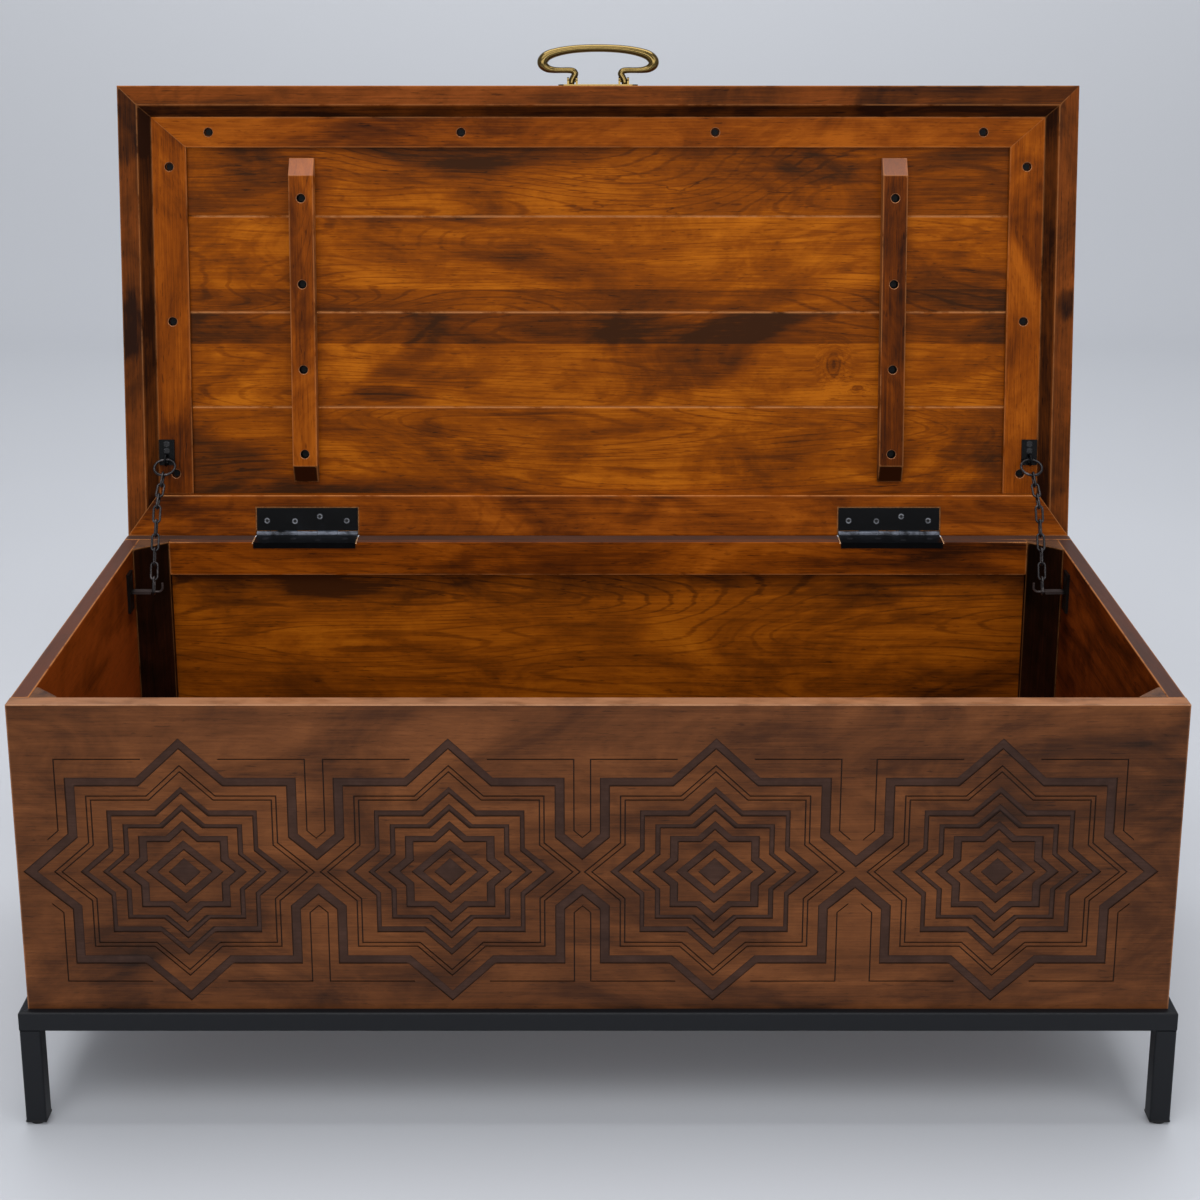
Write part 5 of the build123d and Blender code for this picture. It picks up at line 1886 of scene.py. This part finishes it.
    def hinge_rail(self, wood: bpy.types.Material, slope: float) -> None:
        """The rail that carries the hinges, cut away for their leaves and knuckles.

        Args:
            wood: its finish.
            slope: how far its ends slant outwards for each metre towards the back.
        """
        half, depth, line = SIZES.half_width, SIZES.lid_depth, SIZES.rail_line
        section = [(line, 0.0), (depth, 0.0), (depth, SIZES.rim_depth), (line, SIZES.rim_depth)]
        reach = half - slope * depth
        bar = Bar(section, Cut(-reach, -slope), Cut(reach, slope), (1, 2, 0), self.edge)
        bar = replace(bar, end_radius=self.mitre_edge)
        clear, leaf = self.cut_past, SIZES.leaf_thickness
        past = depth + clear
        outline = [(SIZES.lid_leaf_line, -clear), (past, -clear), (past, SIZES.knuckle_room)]
        outline += [(SIZES.knuckle_line, SIZES.knuckle_room), (SIZES.knuckle_line, leaf)]
        outline.append((SIZES.lid_leaf_line, leaf))
        half_cut = SIZES.hinge_mortise_half
        cutters = [
            Prism(outline, middle - half_cut, middle + half_cut).piece("leaf_mortise", LEAN)
            for middle in SIZES.hinge_middles()
        ]
        place = Place("lid_hinge_rail", "lid", "lid_rim_wood")
        bare = fresh_wood("ochre_wood", OCHRE_WOOD)
        place.take(bar.piece("hinge_rail_bar", LEAN), wood, cutters, bare)

    def well(self, x: float, from_front: float, face: float, depth: float) -> bpy.types.Object:
        """A screw well with a small chamfer, bored up from a face of the lid.

        Args:
            x: its place from side to side.
            from_front: its distance from the lid's front edge.
            face: the height in the lid of the face it is bored into.
            depth: how deep it is.

        Returns:
            The shape to cut away.
        """
        radius, rim, past = SIZES.well_radius, self.well_rim, self.cut_past
        profile = [(0.0, -past), (radius + rim, -past), (radius + rim, 0.0), (radius, rim)]
        profile += [(radius, depth), (0.0, depth)]
        return Turned(profile, (x, from_front, face)).piece("well", LEAN)

    def frame(self) -> None:
        """The flat inner frame, mitred at the front and square against the hinge rail."""
        wood = Wood(
            "frame_wood", TAWNY, seed=9.1, lean=True, figure=0.3, level=0.73, smoke=0.8, wear=0.6
        ).build()
        side_wood = Wood(
            "frame_side_wood", TAWNY, Grain.DEPTH, seed=9.8, lean=True, level=0.63, wear=0.5
        ).build()
        bare = well_wood(SIZES.rim_depth - SIZES.frame_thickness)
        outer = SIZES.half_width - SIZES.rim_width
        inner = outer - SIZES.frame_side_width
        front, back = SIZES.rim_width, SIZES.rim_width + SIZES.frame_front_width
        face, base = SIZES.rim_depth - SIZES.frame_thickness, SIZES.rim_depth
        slope = SIZES.frame_side_width / SIZES.frame_front_width
        section = [(front, face), (back, face), (back, base), (front, base)]
        reach = outer + slope * front
        bar = Bar(section, Cut(-reach, slope), Cut(reach, -slope), (1, 2, 0), self.edge)
        bar = replace(bar, end_radius=self.mitre_edge)
        line = (front + back) / 2
        wells = [self.well(x, line, face, self.frame_well) for x in SIZES.frame_front_screws]
        place = Place("lid_frame_front", "lid", "lid_frame_wood")
        place.take(bar.piece("frame_bar_front", LEAN), wood, wells, bare)
        for side, name in SIDES:
            near, far = side * inner, side * outer
            outline = [(near, face), (far, face), (far, base), (near, base)]
            start, end = Cut(front + outer / slope, -side / slope), Cut(SIZES.rail_line)
            bar = Bar(outline, start, end, (0, 2, 1), self.edge, end_radius=self.mitre_edge)
            middle = side * (outer + inner) / 2
            rows = SIZES.frame_side_screws
            wells = [self.well(middle, row, face, self.frame_well) for row in rows]
            place = Place(f"lid_frame_{name}", "lid", "lid_frame_wood")
            place.take(bar.piece(f"frame_bar_{name}", LEAN), side_wood, wells, bare)

    def battens(self) -> None:
        """The two battens, bevelled at both ends, with their screw wells."""
        bare = well_wood(SIZES.rim_depth - SIZES.batten_thickness)
        base = SIZES.rim_depth
        face = base - SIZES.batten_thickness
        foot = face + SIZES.batten_bevel_drop
        start, end, run = SIZES.batten_start, SIZES.batten_end, SIZES.batten_bevel_run
        section = [(start, base), (start, foot), (start + run, face)]
        section += [(end - run, face), (end, foot), (end, base)]
        half = SIZES.batten_width / 2
        # Painted shade: the lower end bevel faces down and is darkened as a band.
        tips = ((end - run, end, self.tip_shade),)
        for (side, name), level in zip(SIDES, self.batten_levels):
            middle = side * SIZES.batten_middle
            # The upper end bevel gets a painted sheen.
            wood = Wood(
                f"batten_{name}_wood", TAWNY, Grain.DEPTH, self.batten_seed + side, level,
                lean=True, smoke=0.9, figure=0.8, bands=tips, sheen_bevel=(start, start + run), wear=0.8,
            )
            bar = Bar(section, Cut(middle - half), Cut(middle + half), (1, 2, 0), self.edge)
            wells = [self.well(middle, row, face, self.batten_well) for row in SIZES.batten_screws]
            place = Place(f"lid_batten_{name}", "lid", "lid_frame_wood")
            place.take(bar.piece(f"batten_bar_{name}", LEAN), wood.build(), wells, bare)

    def build(self) -> None:
        """Make the lid's boards."""
        self.planks()
        self.rim()
        self.frame()
        self.battens()


def smooth_route(points: np.ndarray, steps: int = 10) -> np.ndarray:
    """A smooth path through points.

    Between two points the path is the cubic whose slope at each is half the step from the point
    before it to the point after it. The end points are repeated once.

    Args:
        points: rows of numbers, in turn.
        steps: spans between two points.

    Returns:
        The rows along the path.
    """
    padded = np.concatenate([points[:1], points, points[-1:]])
    p0, p1, p2, p3 = (padded[i : len(padded) - 3 + i, None, :] for i in range(4))
    t = np.linspace(0.0, 1.0, steps, endpoint=False)[None, :, None]
    cubic = (3 * p1 - p0 - 3 * p2 + p3) * t**3 + (2 * p0 - 5 * p1 + 4 * p2 - p3) * t**2
    rows = 0.5 * (cubic + (p2 - p0) * t + 2 * p1)
    return np.concatenate([rows.reshape(-1, points.shape[1]), points[-1:]])


@dataclass
class Bail:
    """The brass bail: a round bar bent to a flat loop that swells at its ends.

    Each row of the half route gives the distance from the middle, the distance out from the pivots
    and the bar's radius.
    """

    half_route: tuple[tuple[float, float, float], ...] = (
        (0.0, 37.4, 4.4),
        (14.0, 37.1, 4.45),
        (30.0, 35.9, 4.6),
        (45.0, 33.4, 4.95),
        (57.0, 29.5, 5.6),
        (63.0, 24.2, 6.1),
        (63.4, 18.8, 5.8),
        (58.5, 14.4, 4.6),
        (51.0, 12.6, 3.6),
        (42.0, 12.3, 3.3),
        (34.0, 12.3, 3.4),
        (28.6, 11.4, 3.6),
        (26.4, 8.4, 3.7),
        (28.0, 4.8, 3.7),
        (30.0, 1.0, 3.6),
        (30.6, -1.6, 3.6),
    )
    pivot_gap: float = 6 * MM
    pivot_height: float = 19 * MM
    sides: int = 40
    foot_turn: tuple[float, float] = (80.0, 15.0)
    foot_rings: int = 5

    def rings(self) -> tuple[np.ndarray, np.ndarray]:
        """The bar's middle line and radius, closed in at both feet by a quarter circle."""
        half = np.array(self.half_route)
        whole = np.concatenate([half[::-1] * [-1.0, 1.0, 1.0], half[1:]]) * MM
        rows = smooth_route(whole)
        middle, radius = rows[:, :2], rows[:, 2]
        angle = np.linspace(*np.radians(self.foot_turn), self.foot_rings)
        first = unit(middle[:1] - middle[1:2])
        last = unit(middle[-1:] - middle[-2:-1])
        start = middle[:1] + first * radius[0] * np.sin(angle)[:, None]
        end = middle[-1:] + last * radius[-1] * np.sin(angle[::-1])[:, None]
        middle = np.concatenate([start, middle, end])
        ends = radius[0] * np.cos(angle)
        return middle, np.concatenate([ends, radius, ends[::-1]])

    def piece(self) -> bpy.types.Object:
        """Carry a circle along the middle line.

        A vertex is the middle line's point, plus the radius times the cosine of its angle across
        the line in the loop's plane and the sine of its angle across that plane.
        """
        middle, radius = self.rings()
        ahead = unit(np.gradient(middle, axis=0))
        across = np.column_stack([-ahead[:, 1], ahead[:, 0]])
        angle = np.linspace(0.0, 2 * math.pi, self.sides, endpoint=False)
        out_in_plane = (radius[:, None] * np.cos(angle))[:, :, None] * across[:, None, :]
        in_plane = middle[:, None, :] + out_in_plane
        rise = self.pivot_height + radius[:, None] * np.sin(angle)
        out = -self.pivot_gap - in_plane[:, :, 1]
        rows = np.stack([in_plane[:, :, 0], out, rise], axis=2).reshape(-1, 3)
        number = np.arange(len(rows)).reshape(len(middle), self.sides)
        right = np.roll(number, -1, axis=1)
        quads = np.stack([number[:-1], number[1:], right[1:], right[:-1]], axis=2).reshape(-1, 4)
        return make_piece("bail_bar", LEAN.place(rows), quads, [number[0], number[-1, ::-1]])


@dataclass
class Hardware:
    """Hinges, screws, chain fittings, chains and the handle."""

    def build(self) -> None:
        """Dress the metal nodes and make the bail."""
        iron, chain, screw, brass = (m.build() for m in (BLACK_IRON, CHAIN_IRON, SCREW_IRON, BRASS))
        bracket = BRACKET_IRON.build()
        for side in ("left", "right"):
            dress_node(f"chain_bracket_{side}", bracket)
            for name in ("hinge_box_leaf", "hinge_lid_leaf", "chain_plate"):
                dress_node(f"{name}_{side}", iron)
            for name in ("chain_low", "chain_mid", "chain_high", "chain_ring"):
                dress_node(f"{name}_{side}", chain)
        for name in ("hinge_pins", "box_hardware_screws", "lid_hardware_screws"):
            dress_node(name, screw)
        dress_node("lid_screws", WELL_IRON.build())
        for name in ("handle_plate", "handle_pins", "handle_screws"):
            dress_node(name, brass)
        Place("handle_bail", "handle", "aged_brass").take(Bail().piece(), brass)


@dataclass
class Stand:
    """The black steel stand: four square tubes mitred into a frame, and four legs."""

    edge: float = 2.0 * MM
    weld_edge: float = 0.15 * MM
    rail_depth: float = 25 * MM

    def tube(
        self, name: str, outline: list[tuple[float, float]], start: Cut, end: Cut,
        axes: tuple[int, int, int], steel: bpy.types.Material,
    ) -> None:
        """Make one mitred tube of the frame.

        Args:
            name: which side of the stand it is on.
            outline: its section's corners.
            start: its first end.
            end: its other end.
            axes: the columns of the outline's directions and of its length.
            steel: its finish.
        """
        bar = Bar(outline, start, end, axes, self.edge, end_radius=self.weld_edge)
        place = Place(f"base_rail_{name}", "chest", "stand_black")
        place.take(bar.piece(f"stand_tube_{name}"), steel)

    def rails(self, steel: bpy.types.Material) -> None:
        """The frame's four tubes, their edges rounded and their corners mitred.

        Args:
            steel: their finish.
        """
        low, high = SIZES.rail
        outer, reach = high.x, -low.y
        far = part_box("base_rail_back")[1].y
        depth = self.rail_depth
        section = [(0.0, low.z), (depth, low.z), (depth, high.z), (0.0, high.z)]
        for name, y, way in (("front", low.y, 1), ("back", far, -1)):
            outline = [(y + way * inward, rise) for inward, rise in section]
            slope = float(way)
            start, end = Cut(-outer - slope * y, slope), Cut(outer + slope * y, -slope)
            self.tube(name, outline, start, end, (1, 2, 0), steel)
        for side, name in SIDES:
            outline = [(side * (outer - inward), rise) for inward, rise in section]
            start, end = Cut(-reach + outer, -side), Cut(far - outer, side)
            self.tube(name, outline, start, end, (0, 2, 1), steel)

    def legs(self, steel: bpy.types.Material) -> None:
        """The four legs, welded under the frame's corners.

        Args:
            steel: their finish.
        """
        for end in ("front", "back"):
            for side in ("left", "right"):
                low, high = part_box(f"base_leg_{end}_{side}")
                leg = replace(plate(low, high, self.edge, 2), end_radius=self.weld_edge)
                place = Place(f"base_leg_{end}_{side}", "chest", "stand_black")
                place.take(leg.piece(f"stand_leg_{end}_{side}"), steel)

    def build(self) -> None:
        """Make and dress the stand."""
        steel = BLACK_STEEL.build()
        self.rails(steel)
        self.legs(steel)
        dress_node("base_crossbars", steel)
        dress_node("leg_glides", BLACK_PLASTIC.build())
        dress_node("base_screws", ZINC.build())


@dataclass(frozen=True)
class Lamp:
    """A soft box at a place, aimed at a point, with a width, a height and a power in watts."""

    name: str
    place: tuple[float, float, float]
    aim: tuple[float, float, float]
    size: tuple[float, float]
    power: float

    def build(self) -> None:
        """Make the lamp and link it."""
        data = bpy.data.lights.new(self.name, "AREA")
        data.shape = "RECTANGLE"
        data.size, data.size_y = self.size
        data.energy = self.power
        lamp = bpy.data.objects.new(self.name, data)
        bpy.context.scene.collection.objects.link(lamp)
        away = Vector(self.place) - Vector(self.aim)
        lamp.location = self.place
        lamp.rotation_euler = away.to_track_quat("Z", "Y").to_euler()


@dataclass
class Studio:
    """A plain pale sweep, soft lamps and the camera."""

    camera_y: float = -2.095
    camera_z: float = 1.1707
    pitch: float = 14.513
    focal_pixels: float = 2062.5
    image_pixels: float = 1200.0
    sensor_width: float = 36.0
    shift_x: float = 0.0016
    shift_y: float = -0.15
    floor_reach: float = 7.0
    wall_y: float = 3.2
    bend: float = 1.2
    bend_points: int = 24
    wall_height: float = 5.0
    floor_tones: tuple[Colour, Colour] = (tone(184, 187, 193), tone(190, 193, 199))
    far_tone: Colour = tone(216, 219, 225)
    far_span: Span = (0.2, 3.8)
    wall_tone: Colour = tone(236, 239, 244)
    wall_span: Span = (0.1, 1.5)
    air_tone: Colour = tone(226, 228, 232)
    air_strength: float = 0.42
    lamps: tuple[Lamp, ...] = (
        Lamp("key_lamp", (-0.9, -2.2, 3.4), (0.0, 0.0, 0.4), (2.4, 1.8), 48.0),
        Lamp("fill_lamp", (1.9, -2.2, 2.6), (0.0, 0.0, 0.4), (1.8, 1.8), 22.0),
        Lamp("top_lamp", (0.0, 0.5, 3.4), (0.0, 0.0, 0.4), (3.0, 2.0), 98.0),
        Lamp("front_lamp", (0.0, -3.6, 1.5), (0.0, 0.0, 0.3), (3.6, 1.0), 52.0),
    )

    def paper(self) -> bpy.types.Material:
        """Pale paper with painted light: it grows lighter towards the wall and up it."""
        g = Graph("studio_paper")
        _, depth, height = g.split(g.position)
        colour = g.mix(PAPER_CLOUD.on(g, g.position), *self.floor_tones)
        # Painted light: lighter towards the wall, then lighter still up the wall.
        colour = g.mix(depth.ramp(*self.far_span), colour, self.far_tone)
        colour = g.mix(height.ramp(*self.wall_span), colour, self.wall_tone)
        g.surface(Base_Color=colour, Roughness=0.5, Specular_IOR_Level=0.3)
        return g.material

    def sweep(self) -> None:
        """A floor that bends up into a wall: a straight run, a quarter turn and a straight rise."""
        turn = np.linspace(0.0, math.pi / 2, self.bend_points)
        bend_y = self.wall_y + self.bend * np.sin(turn)
        y = np.concatenate([[-self.floor_reach], bend_y, [self.wall_y + self.bend]])
        z = np.concatenate([[0.0], self.bend * (1 - np.cos(turn)), [self.wall_height]])
        left = np.column_stack([np.full_like(y, -self.floor_reach), y, z])
        right = np.column_stack([np.full_like(y, self.floor_reach), y, z])
        count = len(y)
        number = np.arange(count - 1)
        quads = np.column_stack([number, number + count, number + count + 1, number + 1])
        sweep = make_piece("studio_sweep", np.concatenate([left, right]), quads)
        dress(sweep, self.paper())

    def world(self) -> None:
        """An even, slightly cool surrounding light."""
        world = bpy.data.worlds.new("studio_air")
        bpy.context.scene.world = world
        world.use_nodes = True
        background = world.node_tree.nodes["Background"]
        background.inputs["Color"].default_value = (*self.air_tone, 1.0)
        background.inputs["Strength"].default_value = self.air_strength

    def camera(self) -> None:
        """The camera, level from side to side and looking down."""
        data = bpy.data.cameras.new("camera")
        data.sensor_width = self.sensor_width
        data.lens = data.sensor_width * self.focal_pixels / self.image_pixels
        data.shift_x = self.shift_x
        data.shift_y = self.shift_y
        camera = bpy.data.objects.new("camera", data)
        bpy.context.scene.collection.objects.link(camera)
        camera.location = (0.0, self.camera_y, self.camera_z)
        camera.rotation_euler = (math.radians(90 - self.pitch), 0.0, 0.0)
        bpy.context.scene.camera = camera

    def build(self) -> None:
        """Set the studio up."""
        bpy.context.scene.view_settings.view_transform = "Standard"
        self.sweep()
        self.world()
        self.camera()
        for lamp in self.lamps:
            lamp.build()


def main() -> None:
    """Build every sub-assembly in order."""
    logging.basicConfig(level=logging.INFO, format="%(name)s: %(message)s")
    for part in (Box(), Lid(), Hardware(), Stand(), Studio()):
        LOG.info("building %s", type(part).__name__)
        part.build()


if __name__ == "__main__":
    main()
